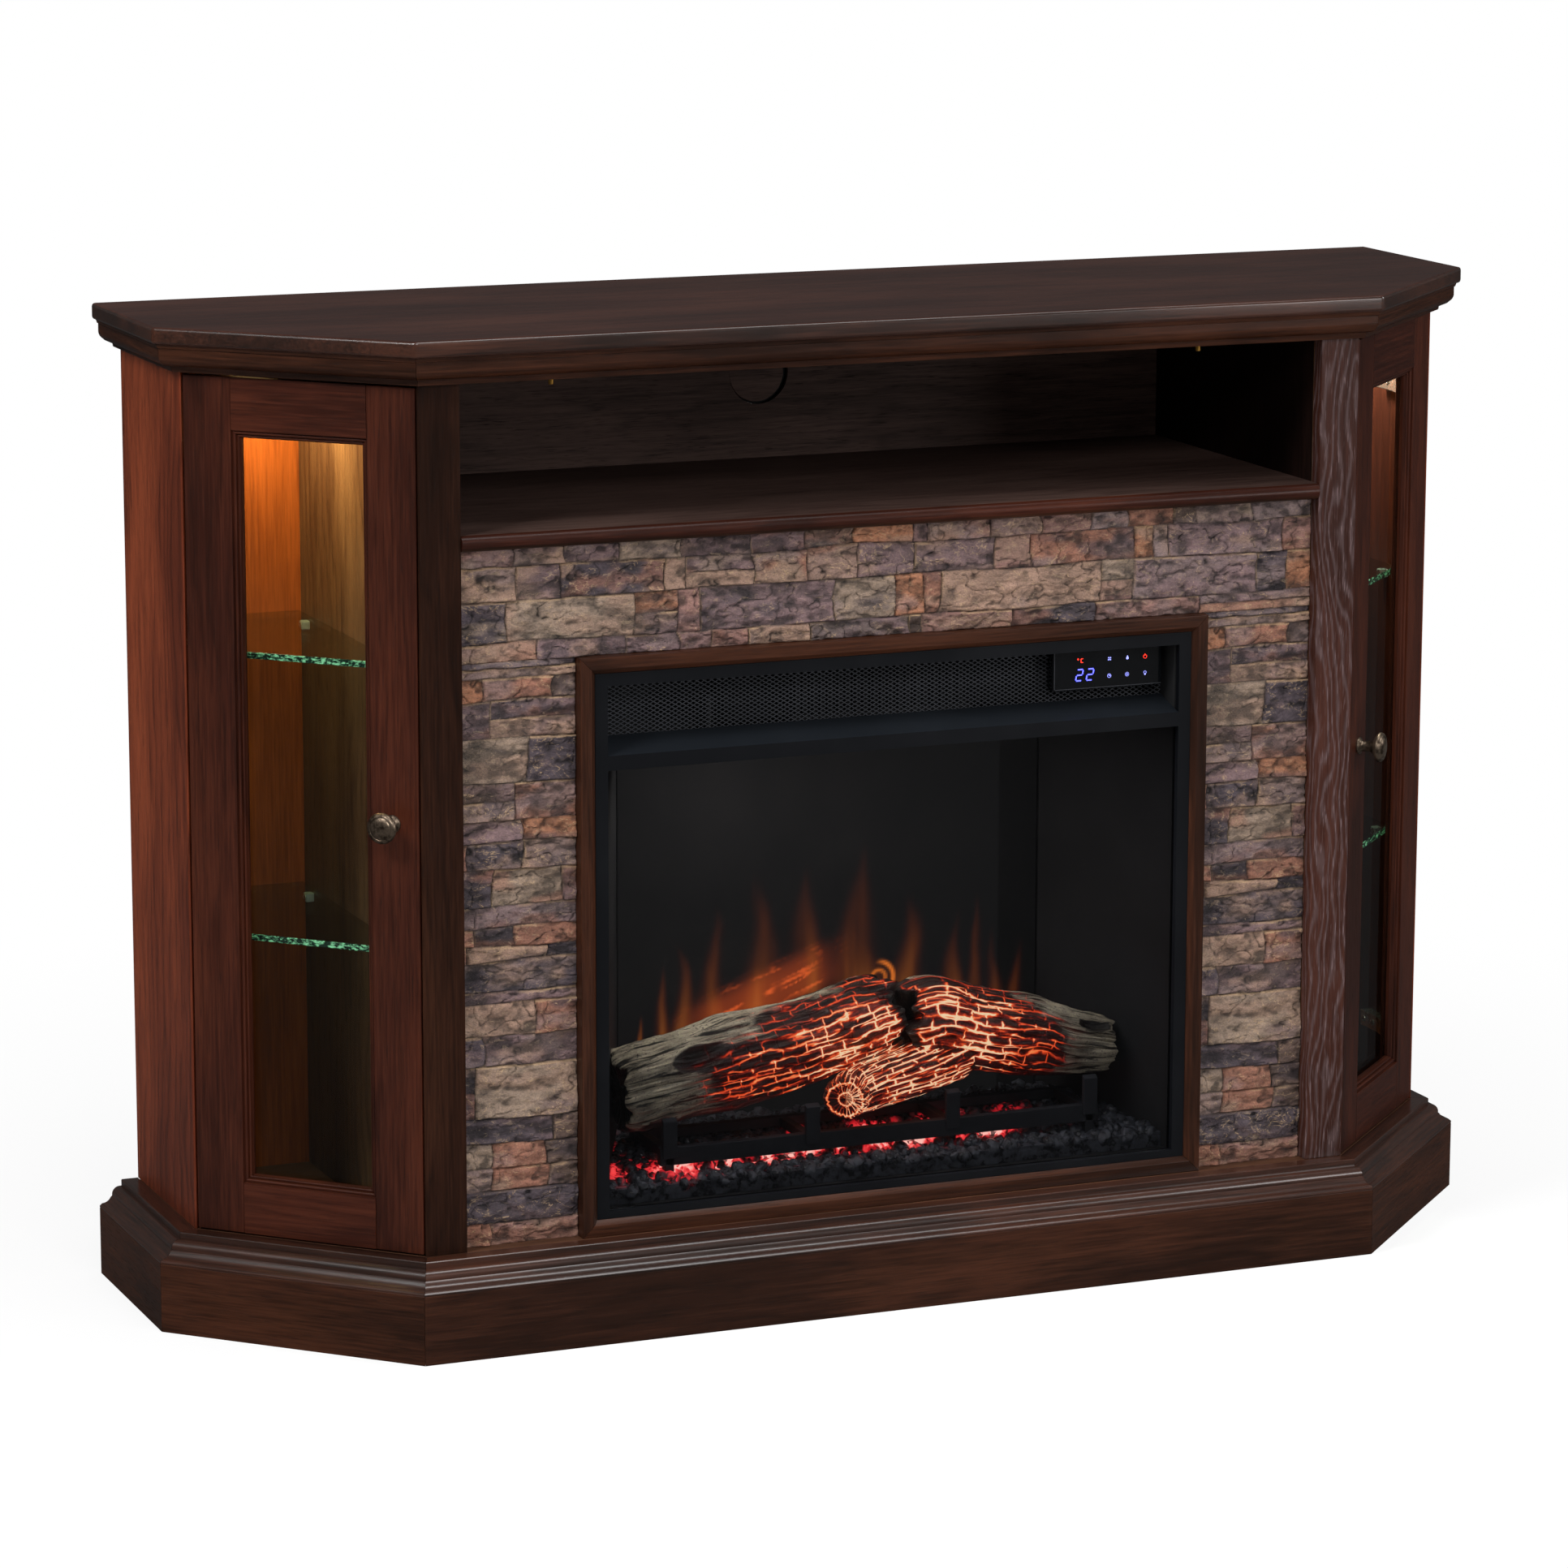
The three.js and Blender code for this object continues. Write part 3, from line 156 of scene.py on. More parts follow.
class Graph:
    """The node tree of one material, or of the world."""

    def __init__(self, name: str, store: str = "materials") -> None:
        self.owner = getattr(bpy.data, store).new(name)
        self.owner.use_nodes = True
        self.tree = self.owner.node_tree
        self.tree.nodes.clear()

    def node(self, kind: str, settings: Mapping[str, object] | None = None,
             inputs: Mapping[str | int, object] | None = None) -> bpy.types.Node:
        """Adds one node.

        Args:
            kind: The node's Blender type.
            settings: Its own settings, set first. "stops" fills a colour ramp with (place, colour) pairs.
            inputs: A value, a Term or an output socket for each named or numbered input.

        Returns:
            The node.
        """
        node = self.tree.nodes.new(kind)
        for key, value in (settings or {}).items():
            if key == "stops":
                self._fill_ramp(node.color_ramp, value)
            else:
                setattr(node, key, value)
        for key, value in (inputs or {}).items():
            self.feed(node.inputs[key], value)
        return node

    @staticmethod
    def _fill_ramp(ramp: bpy.types.ColorRamp, stops: Sequence[tuple[float, Colour]]) -> None:
        """Gives a colour ramp these stops."""
        while len(ramp.elements) < len(stops):
            ramp.elements.new(1.0)
        for element, (place, colour) in zip(ramp.elements, stops):
            element.position = place
            element.color = (*colour, 1.0)

    def feed(self, socket: bpy.types.NodeSocket, value: object) -> None:
        """Links a Term or socket to an input, or sets the input's own value."""
        if isinstance(value, Term):
            self.tree.links.new(value.socket, socket)
        elif isinstance(value, bpy.types.NodeSocket):
            self.tree.links.new(value, socket)
        elif socket.type == "RGBA" and len(value) == 3:
            socket.default_value = (*value, 1.0)
        else:
            socket.default_value = value

    def place(self, turn: Point = (0, 0, 0), shift: Point = (0, 0, 0)) -> Term:
        """Object coordinates, turned and then shifted."""
        here = self.node("ShaderNodeTexCoord").outputs["Object"]
        node = self.node("ShaderNodeMapping", inputs={"Vector": here, "Rotation": turn, "Location": shift})
        return Term(self, node.outputs[0])

    def stretch(self, vector: Term, scale: Point) -> Term:
        """A vector with its axes scaled."""
        node = self.node("ShaderNodeVectorMath", {"operation": "MULTIPLY"}, {0: vector, 1: scale})
        return Term(self, node.outputs[0])

    def noise(self, vector: Term, scale: float | Point, detail: float = 2.0, roughness: float = 0.5,
              distortion: float = 0.0) -> Term:
        """Smooth noise about 0.5, with features 1 / scale apart on all axes or on each."""
        if isinstance(scale, tuple):
            vector, scale = self.stretch(vector, scale), 1.0
        node = self.node("ShaderNodeTexNoise", inputs={
            "Vector": vector, "Scale": scale, "Detail": detail, "Roughness": roughness,
            "Distortion": distortion})
        return Term(self, node.outputs["Fac"])

    def warp(self, vector: Term, scale: float, reach: float) -> Term:
        """A vector pushed about by noise, by up to about half of reach each way."""
        push = self.node("ShaderNodeTexNoise", inputs={"Vector": vector, "Scale": scale, "Detail": 2.0})
        shift = self.node("ShaderNodeVectorMath", {"operation": "MULTIPLY_ADD"}, {
            0: push.outputs["Color"], 1: (2 * reach,) * 3, 2: (-reach,) * 3})
        moved = self.node("ShaderNodeVectorMath", {"operation": "ADD"}, {0: vector, 1: shift.outputs[0]})
        return Term(self, moved.outputs[0])

    def cracks(self, vector: Term, size: Pair, width: float) -> Term:
        """1 in the joints between offset rows of blocks and 0 on the blocks."""
        node = self.node("ShaderNodeTexBrick", {"offset": 0.43, "squash": 0.7, "squash_frequency": 3}, {
            "Vector": vector, "Scale": 1.0, "Mortar Size": width, "Mortar Smooth": 1.0,
            "Brick Width": size[0], "Row Height": size[1]})
        return Term(self, node.outputs["Fac"])

    def ramp(self, share: Term, stops: Sequence[tuple[float, Colour]]) -> Term:
        """The colour at a share of the way along these stops."""
        return Term(self, self.node("ShaderNodeValToRGB", {"stops": stops}, {"Fac": share}).outputs[0])

    def attribute(self, name: str, output: str = "Fac") -> Term:
        """A mesh attribute, as a number or a colour."""
        return Term(self, self.node("ShaderNodeAttribute", {"attribute_name": name}).outputs[output])

    def blend(self, share: Term | float, under: Term | Colour, over: Term | Colour,
              mode: str = "MIX") -> Term:
        """Two colours mixed by a share of the second."""
        node = self.node(
            "ShaderNodeMix", {"data_type": "RGBA", "blend_type": mode}, {0: share, 6: under, 7: over})
        return Term(self, node.outputs[2])

    def bump(self, height: Term, distance: float, strength: float = 1.0) -> Term:
        """A surface normal from a height of 0 to 1 over a distance in metres."""
        node = self.node("ShaderNodeBump", inputs={
            "Height": height, "Distance": distance, "Strength": strength})
        return Term(self, node.outputs[0])

    def finish(self, **sockets: object) -> Paint:
        """Ends the material in a Principled shader.

        Args:
            sockets: The shader's inputs, with underscores for the spaces in their names.

        Returns:
            The material.
        """
        names = {key.replace("_", " ").title().replace("Ior", "IOR"): value for key,
                 value in sockets.items()}
        shader = self.node("ShaderNodeBsdfPrincipled", inputs=names)
        return self.end(shader.outputs[0])

    def mix(self, share: Term | bpy.types.NodeSocket, under: bpy.types.NodeSocket,
            over: bpy.types.NodeSocket) -> bpy.types.NodeSocket:
        """Two shaders mixed by a share of the second."""
        return self.node("ShaderNodeMixShader", inputs={0: share, 1: under, 2: over}).outputs[0]

    def end(self, shader: bpy.types.NodeSocket, kind: str = "Material") -> Paint | bpy.types.World:
        """Ends the tree in this shader."""
        self.node(f"ShaderNodeOutput{kind}", inputs={"Surface": shader})
        return self.owner


# -------------------- finishes


@dataclass(frozen=True)
class Wood:
    """Stained veneer or solid wood under a satin lacquer, with its colours as the screen shows them.

    Attributes:
        deep: The colour of the dark streaks.
        mid: The stain's own colour.
        warm: The colour of the bright fibres.
        pore: The colour in the open pores.
        pores: How much of the pores shows, 0 to 1.
        figure: How strong the arched growth lines are, 0 to 1.
        gloss: How strongly the wood itself reflects, under its coat.
        tight: How close the growth lines are, as a multiple of the usual.
        lines: How much the pores run together along the growth lines, 0 to 1.
    """

    name: str
    deep: Screen = (30, 12, 7)
    mid: Screen = (53, 22, 13)
    warm: Screen = (76, 35, 19)
    pore: Screen = (14, 6, 4)
    pores: float = 0.55
    figure: float = 0.3
    roughness: float = 0.36
    coat: float = 0.08
    gloss: float = 0.13
    relief: float = 0.00008
    tight: float = 1.0
    lines: float = 0.0

    @cache
    def build(self, grain: Grain, shift: float = 0.0) -> Paint:
        """The wood as a material.

        Args:
            grain: Which way the grain runs.
            shift: How far the pattern is moved, so that neighbours don't match.

        Returns:
            The material.
        """
        g = Graph(f"{self.name}_{grain.name.lower()}_{round(shift * 10)}")
        here = g.place(grain.value, (shift, 0.37 * shift, 0.61 * shift))
        drift = g.noise(here, (2.4, 9.0, 9.0), 3.0, 0.6)
        streak = g.noise(here, (5.0, 75.0, 75.0), 4.0, 0.65, 0.5)
        fibre = g.noise(here, (16.0, 430.0, 430.0), 3.0, 0.65)
        pore = g.noise(here, (60.0, 1000.0, 1000.0), 1.0).rise(0.57, 0.70)
        across = here.axis("Y") + here.axis("Z") * 0.8
        rings = ((across * 330.0 + drift * 46.0 + streak * 2.5) * self.tight).sine() * 0.5 + 0.5
        arches = (rings ** 3.0) * self.figure
        tone = (drift * 0.75 + streak * 0.4 + fibre * 0.4 - arches * 0.4 - 0.28).rise(0.05, 0.9)
        body = g.blend(tone, srgb(*self.deep), srgb(*self.mid))
        body = g.blend((drift * 0.7 + fibre * 0.5).rise(0.5, 0.85) * 0.6, body, srgb(*self.warm))
        body = g.blend((pore * (0.35 + arches) + arches * self.lines) * self.pores, body, srgb(*self.pore))
        height = fibre * 0.35 - (pore * (0.5 + arches) + arches * self.lines) * self.pores
        return g.finish(
            base_color=body, roughness=self.roughness + (fibre - 0.5) * 0.22 + pore * 0.1,
            coat_weight=self.coat, coat_roughness=0.16, coat_ior=1.5, specular_ior_level=self.gloss,
            normal=g.bump(height, self.relief, 0.7))


@dataclass(frozen=True)
class Enamel:
    """Paint or powder coat on metal, with a faint orange peel."""

    name: str
    colour: Screen
    roughness: float = 0.42
    metallic: float = 0.0
    peel: float = 0.00003
    gloss: float = 0.14

    @cache
    def build(self) -> Paint:
        """The paint as a material."""
        g = Graph(self.name)
        here = g.place()
        peel, cloud = g.noise(here, 900.0, 2.0), g.noise(here, 9.0, 3.0, 0.6)
        colour = srgb(*self.colour)
        return g.finish(
            base_color=g.blend(cloud.rise(0.35, 0.8) * 0.5, colour, tuple(c * 1.6 + 0.002 for c in colour)),
            roughness=self.roughness + (cloud - 0.5) * 0.06 + (peel - 0.5) * 0.05,
            metallic=self.metallic, specular_ior_level=self.gloss, normal=g.bump(peel, self.peel, 0.6))


@dataclass(frozen=True)
class Metal:
    """Bare, plated or patinated metal."""

    name: str
    colour: Screen
    tarnish: Screen
    roughness: float = 0.28
    cloud_scale: float = 60.0
    tarnish_share: float = 0.35

    @cache
    def build(self) -> Paint:
        """The metal as a material."""
        g = Graph(self.name)
        here = g.place()
        cloud = g.noise(here, self.cloud_scale, 4.0, 0.6)
        scratch = g.noise(g.stretch(here, (1.0, 1.0, 14.0)), 700.0, 2.0)
        worn = cloud.rise(0.62 - self.tarnish_share, 0.95 - self.tarnish_share)
        return g.finish(
            base_color=g.blend(worn, srgb(*self.tarnish), srgb(*self.colour)),
            roughness=self.roughness + (1.0 - worn) * 0.18 + (scratch - 0.5) * 0.12,
            metallic=0.92, normal=g.bump(scratch, 0.00001, 0.5))


@dataclass(frozen=True)
class Pane:
    """Flat glass that light passes straight through, with mirror reflections by angle."""

    name: str
    tint: Colour
    shine: float

    @cache
    def build(self) -> Paint:
        """The glass as a material."""
        g = Graph(self.name)
        facing = Term(g, g.node("ShaderNodeLayerWeight", inputs={"Blend": 0.5}).outputs["Facing"])
        clear = g.node("ShaderNodeBsdfTransparent", inputs={"Color": self.tint})
        gloss = g.node("ShaderNodeBsdfGlossy", inputs={"Color": (0.95, 0.97, 1.0), "Roughness": 0.03})
        return g.end(g.mix((0.035 + 0.9 * facing ** 5.0) * self.shine, clear.outputs[0], gloss.outputs[0]))


@dataclass(frozen=True)
class Glow:
    """A lit lens or mark."""

    name: str
    colour: Screen
    strength: float

    @cache
    def build(self) -> Paint:
        """The lit surface as a material."""
        colour = srgb(*self.colour)
        return Graph(self.name).finish(
            base_color=colour, roughness=0.4, emission_color=colour, emission_strength=self.strength)


@dataclass(frozen=True)
class GlassEdge:
    """The green edge of float glass, with a painted glow and painted glints for the light that it gathers.
    """

    name: str = "glass_edge"

    @cache
    def build(self) -> Paint:
        """The edge as a material."""
        g = Graph(self.name)
        # painted glints on the edge; its emission is a painted glow
        glint = g.noise(g.stretch(g.place(), (1.0, 1.0, 2.5)), 150.0, 3.0, 0.7).rise(0.46, 0.66)
        return g.finish(
            base_color=g.blend(glint, srgb(16, 34, 25), srgb(110, 160, 128)), roughness=0.12,
            emission_color=g.blend(glint, srgb(4, 12, 8), srgb(84, 150, 98)), emission_strength=0.7)


class Look:
    """Every finish of the console."""

    MAHOGANY = Wood("mahogany")
    FRONT = Wood("front_mahogany", (26, 13, 7), (46, 23, 13), (72, 38, 21))
    MOULDING = Wood("moulding", (24, 12, 7), (46, 23, 14), (74, 38, 22), coat=0.75, gloss=0.3)
    # a darker copy of the mahogany for the left pilaster's front: painted shade
    POST = Wood("post_mahogany", (20, 9, 5), (40, 20, 11), (58, 31, 17), gloss=0.08)
    # the side panels' veneer is redder and also much brighter than the front: painted light from the left
    SIDE = Wood("side_veneer", (62, 25, 13), (106, 46, 26), (140, 68, 38), (40, 16, 9), figure=0.5)
    TOP = Wood("top_veneer", (38, 22, 18), (58, 33, 27), (76, 46, 36), coat=0.22, pores=0.4)
    OAK = Wood("open_oak", (34, 17, 12), (54, 27, 20), (74, 41, 31), (92, 74, 74), 0.9, 1.0,
               relief=0.00025, tight=2.3, lines=0.45)
    BACKING = Wood("backing", (44, 31, 27), (84, 64, 57), (98, 77, 70), (26, 18, 15), 1.0, 0.35, 0.6, 0.0)
    SHADED = Wood("shaded_veneer", (46, 32, 28), (76, 58, 52), (88, 69, 62), pores=0.5, figure=0.4,
                  roughness=0.5, coat=0.0)
    # near-black wood for the dividers' faces towards the middle opening: painted shade
    NIGHT = Wood("dark_veneer", (10, 5, 4), (24, 12, 9), (36, 19, 13), roughness=0.5, coat=0.0)
    CABINET = Wood(
        "cabinet_lining", (76, 34, 10), (116, 55, 16), (140, 72, 26), pores=0.2, figure=0.1, roughness=0.4)
    OLIVE = Wood("olive_lining", (48, 31, 18), (80, 55, 34), (106, 78, 50), figure=0.6, roughness=0.4)
    FLOOR = Wood("cabinet_floor", (46, 28, 19), (72, 46, 32), (90, 60, 43), pores=0.2, roughness=0.5)
    HARDBOARD = Wood("hardboard", (70, 48, 34), (104, 74, 52), (124, 92, 66), pores=0.2, figure=0.0,
                     roughness=0.7, coat=0.0)
    STEEL = Enamel("black_steel", (11, 12, 15), 0.36)
    LEDGE = Enamel("ledge_steel", (22, 25, 29), 0.34)
    GLOSS = Enamel("black_gloss", (7, 8, 10), 0.1, peel=0.000004, gloss=0.5)
    CASING = Enamel("blackened_casing", (44, 44, 45), 0.55, 0.4)
    # near-black paint for the duct's parts behind the grille: painted shade
    SOOT = Enamel("sooty_metal", (20, 20, 21), 0.6, 0.3)
    IRON = Enamel("cast_iron", (36, 37, 40), 0.55, peel=0.00025)
    MESH = Enamel("mesh_iron", (52, 53, 57), 0.45, 0.3)
    PLASTIC = Enamel("clear_plastic", (196, 196, 190), 0.25, peel=0.00001)
    NICKEL = Metal("nickel", (205, 200, 190), (120, 116, 108), 0.2)
    BRONZE = Metal("bronze", (128, 112, 96), (46, 36, 28), 0.3, 140.0, 0.3)
    BRASS = Metal("brass", (200, 150, 70), (96, 66, 30), 0.3)
    ALUMINIUM = Metal("aluminium", (170, 172, 175), (110, 112, 115), 0.38)
    WINDOW = Pane("window_glass", (0.62, 0.62, 0.63), 0.3)
    CABINET_GLASS = Pane("clear_glass", (0.93, 0.96, 0.95), 0.35)
    SHELF_GLASS = Pane("shelf_glass", (0.78, 0.84, 0.80), 0.9)
    SHELF_EDGE = GlassEdge()
    READOUT = Glow("readout", (74, 78, 255), 4.0)
    RED_MARK = Glow("red_mark", (255, 50, 30), 1.8)
    ICON = Glow("icon", (150, 156, 255), 1.2)
    WARM_LENS = Glow("lens_left", (255, 205, 130), 5.0)
    PALE_LENS = Glow("lens_right", (255, 246, 226), 5.0)


# -------------------- modelling steps


def clear() -> None:
    """Selects nothing."""
    for item in bpy.context.selected_objects:
        item.select_set(False)


def take(piece: Piece) -> Piece:
    """Selects one piece alone and makes it the active one."""
    clear()
    piece.select_set(True)
    bpy.context.view_layer.objects.active = piece
    return piece


@contextmanager
def editing(piece: Piece, everything: bool = False) -> Iterator[None]:
    """Edit mode on one piece, with nothing or everything selected, as a with block."""
    take(piece)
    bpy.ops.object.mode_set(mode="EDIT")
    bpy.ops.mesh.select_mode(type="EDGE")
    bpy.ops.mesh.select_all(action="SELECT" if everything else "DESELECT")
    yield
    bpy.ops.object.mode_set(mode="OBJECT")


def shaped(name: str, points: Array | Sequence[Point]) -> Piece:
    """Names the primitive that was just added, and moves its corners to these places."""
    piece = bpy.context.object
    piece.name = name
    piece.data.vertices.foreach_set("co", np.array(points, dtype=float).ravel())
    piece.data.update()
    return piece


def ngon(name: str, points: Sequence[Point]) -> Piece:
    """One face with these corners: a filled ring whose corners are moved to their places."""
    clear()
    bpy.ops.mesh.primitive_circle_add(vertices=len(points), fill_type="NGON")
    return shaped(name, points)


def extrude(piece: Piece, by: Point) -> Piece:
    """Raises a face into a solid."""
    with editing(piece, True):
        bpy.ops.mesh.extrude_region_move(TRANSFORM_OT_translate={"value": by})
    return outward(piece)


def prism(name: str, outline: Profile, bottom: float, top: float,
          ease: float = 0.5 * MM, steps: int = 2) -> Piece:
    """A board with this plan outline between two heights."""
    face = ngon(name, [(x, y, bottom) for x, y in outline])
    return soften(extrude(face, (0, 0, top - bottom)), ease, steps)


def sawn_length(name: str, profile: Profile, length: float, slopes: Pair, gap: float = 0.0) -> Piece:
    """A straight length of a profile along X, with both ends sawn.

    Args:
        name: The piece's name.
        profile: Its section as (y, z) points.
        length: Its length where y is 0.
        slopes: How far each end is cut back for each metre of y; 1 is a picture frame's mitre.
        gap: How much the saw takes off each end.

    Returns:
        The closed length.
    """
    spare = 2 * max(abs(y) for y, _ in profile)
    piece = ngon(name, [(-spare, y, z) for y, z in profile])
    extrude(piece, (length + 2 * spare, 0, 0))
    saw(piece, Vector((gap, 0, 0)), Vector((-1, slopes[0], 0)))
    saw(piece, Vector((length - gap, 0, 0)), Vector((1, slopes[1], 0)))
    return piece


def saw(piece: Piece, point: Vector, off: Vector) -> Piece:
    """Cuts away what lies on the off side of a plane, and closes the cut."""
    with editing(piece, True):
        bpy.ops.mesh.bisect(plane_co=point, plane_no=off.normalized(), use_fill=True, clear_outer=True)
    return piece


def board(name: str, start: Sequence[float], end: Sequence[float], ease: float = 0.6 * MM,
          steps: int = 2) -> Piece:
    """A board between two corners, with its edges eased."""
    start, end = Vector(start), Vector(end)
    clear()
    bpy.ops.mesh.primitive_cube_add(size=1.0, location=(start + end) / 2)
    piece = bpy.context.object
    piece.name = name
    piece.scale = end - start
    return soften(settle(piece), ease, steps)


def turned(name: str, profile: Profile, sides: int = 40, axis: Point = (0, 0, 1),
           place: Point = (0, 0, 0)) -> Piece:
    """A piece turned on a lathe.

    Args:
        name: The piece's name.
        profile: Its (radius, height) points in millimetres, from one end of the axis to the other.
        sides: How many faces go round it.
        axis: The way that its height points.
        place: Where its height is 0.

    Returns:
        The closed piece.
    """
    clear()
    bpy.ops.mesh.primitive_circle_add(vertices=len(profile), fill_type="NOTHING")
    piece = shaped(name, [(radius * MM, 0.0, height * MM) for radius, height in profile])
    with editing(piece):
        ring = bmesh.from_edit_mesh(piece.data)
        for edge in ring.edges:
            edge.select = {corner.index for corner in edge.verts} == {0, len(profile) - 1}
        bmesh.update_edit_mesh(piece.data)
        bpy.ops.mesh.delete(type="EDGE")
        bpy.ops.mesh.select_all(action="SELECT")
        bpy.ops.mesh.spin(steps=sides, angle=2 * math.pi, center=(0, 0, 0), axis=(0, 0, 1))
    turn = Vector(axis).to_track_quat("Z", "Y").to_matrix().to_4x4()
    return outward(move(outward(piece), Matrix.Translation(place) @ turn))


def sheet(name: str, points: Array) -> Piece:
    """A grid whose corners are moved to these places, an array of rows of points."""
    rows, columns = points.shape[:2]
    clear()
    bpy.ops.mesh.primitive_grid_add(x_subdivisions=columns - 1, y_subdivisions=rows - 1)
    return shaped(name, points)


def dye(piece: Piece, name: str, values: Array) -> Piece:
    """Keeps a number or a colour for each corner of a piece."""
    if values.ndim == 1:
        piece.data.attributes.new(name, "FLOAT", "POINT").data.foreach_set("value", values)
        return piece
    full = np.column_stack([values, np.ones(len(values))])
    piece.data.attributes.new(name, "FLOAT_COLOR", "POINT").data.foreach_set("color", full.ravel())
    return piece


def copy_of(node: str, name: str) -> Piece:
    """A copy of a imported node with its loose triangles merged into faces."""
    piece = add(name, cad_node(node).data.copy())
    piece.data.materials.clear()
    with editing(piece, True):
        bpy.ops.mesh.remove_doubles(threshold=2 * MERGE)
        bpy.ops.mesh.dissolve_limited(angle_limit=math.radians(0.5))
        bpy.ops.mesh.normals_make_consistent(inside=False)
    return piece


def duplicate(piece: Piece, matrix: Matrix) -> Piece:
    """A second piece with its own mesh, moved by a matrix."""
    twin = add(piece.name, piece.data.copy())
    twin.data.transform(matrix)
    if matrix.determinant() < 0:
        outward(twin)
    return twin


def soften(piece: Piece, width: float, steps: int = 2, sharper: float = 28.0) -> Piece:
    """Rounds every edge that is sharper than an angle in degrees."""
    with editing(piece):
        bpy.ops.mesh.edges_select_sharp(sharpness=math.radians(sharper))
        bpy.ops.mesh.bevel(offset=width, segments=steps, affect="EDGES", clamp_overlap=True)
    return piece


def settle(piece: Piece) -> Piece:
    """Puts a piece's place, turn and scale into its mesh."""
    take(piece)
    bpy.ops.object.transform_apply(location=True, rotation=True, scale=True)
    return piece


def move(piece: Piece, matrix: Matrix) -> Piece:
    """Moves a piece by a matrix, which goes into its mesh."""
    piece.data.transform(matrix)
    return outward(piece) if matrix.determinant() < 0 else piece


def modify(piece: Piece, kind: str, **settings: object) -> Piece:
    """Adds a modifier with these settings and applies it."""
    modifier = piece.modifiers.new(kind.lower(), kind)
    for key, value in settings.items():
        setattr(modifier, key, value)
    take(piece)
    bpy.ops.object.modifier_apply(modifier=modifier.name)
    return piece


def join(name: str, pieces: Sequence[Piece]) -> Piece:
    """Several pieces as one, which keeps their materials."""
    take(pieces[0])
    for piece in pieces[1:]:
        piece.select_set(True)
    if len(pieces) > 1:
        bpy.ops.object.join()
    pieces[0].name = name
    pieces[0].data.name = name
    return pieces[0]


def outward(piece: Piece) -> Piece:
    """Merges a piece's doubles and turns its faces outwards."""
    with editing(piece, True):
        bpy.ops.mesh.remove_doubles(threshold=MERGE)
        bpy.ops.mesh.normals_make_consistent(inside=False)
    return piece


def paint(piece: Piece, *materials: Paint,
          by: Callable[[bpy.types.MeshPolygon], int] | None = None) -> Piece:
    """Gives a piece these materials, and picks one for each face with a function."""
    piece.data.materials.clear()
    for material in materials:
        piece.data.materials.append(material)
    for face in piece.data.polygons if by else ():
        face.material_index = int(by(face))
    return piece


def dress(node: str, material: Paint) -> None:
    """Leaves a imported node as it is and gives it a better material."""
    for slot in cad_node(node).material_slots:
        slot.material = material


def hand_in(piece: Piece, body: str, slot: str, *replaces: str, smooth: float = 32.0) -> Piece:
    """Finishes a piece: shading, the body that it rides on and the nodes it stands for.

    Args:
        piece: The piece, with its material.
        body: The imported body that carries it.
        slot: The record's material slot; not used.
        replaces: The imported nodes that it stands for.
        smooth: Faces that meet at less than this many degrees are shaded as one.

    Returns:
        The piece.
    """
    take(piece)
    bpy.ops.object.shade_smooth_by_angle(angle=math.radians(smooth))
    if len(piece.data.polygons) < FINE_MESH:
        modify(piece, "WEIGHTED_NORMAL", keep_sharp=True)
    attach(piece, body)
    if replaces:
        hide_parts(*replaces)
    log.info("%s on %s, %d faces", piece.name, body, len(piece.data.polygons))
    return piece


def add(name: str, data: bpy.types.ID) -> Piece:
    """A new object in the scene with this mesh, lamp or camera."""
    piece = bpy.data.objects.new(name, data)
    bpy.context.scene.collection.objects.link(piece)
    return piece


def area_lamp(name: str, place: Point, target: Point, size: Pair, watts: float,
              colour: Colour = (1.0, 1.0, 1.0)) -> Piece:
    """A rectangular lamp that faces a target.

    Args:
        name: The lamp's name.
        place: Where it stands.
        target: What it faces.
        size: Its width and height.
        watts: Its power.
        colour: Its light's colour.

    Returns:
        The lamp.
    """
    data = bpy.data.lights.new(name, "AREA")
    data.shape, data.size, data.size_y = "RECTANGLE", *size
    data.energy, data.color = watts, colour
    lamp = add(name, data)
    lamp.location = place
    lamp.rotation_euler = (Vector(target) - Vector(place)).to_track_quat("-Z", "Y").to_euler()
    return lamp


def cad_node(name: str) -> Piece:
    """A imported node's object."""
    return frame["nodes"][name]


def low(node: str) -> Vector:
    """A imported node's lowest corner."""
    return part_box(node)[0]


def high(node: str) -> Vector:
    """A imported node's highest corner."""
    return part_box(node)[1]


def arc(centre: Pair, radius: float, start: float, end: float, steps: int) -> list[Pair]:
    """Points on an arc, with its angles in degrees."""
    turns = [math.radians(start + (end - start) * i / steps) for i in range(steps + 1)]
    return [(centre[0] + radius * math.cos(a), centre[1] + radius * math.sin(a)) for a in turns]


def frame_of(origin: Sequence[float], along: Sequence[float], across: Sequence[float],
             up: Sequence[float]) -> Matrix:
    """The matrix that brings X, Y and Z onto these directions, at an origin."""
    return Matrix.Translation(origin) @ Matrix((along, across, up)).transposed().to_4x4()


def step(values: Array, start: float, end: float) -> Array:
    """0 before start, 1 after end and a smooth step between them."""
    share = np.clip((values - start) / (end - start), 0, 1)
    return share * share * (3 - 2 * share)


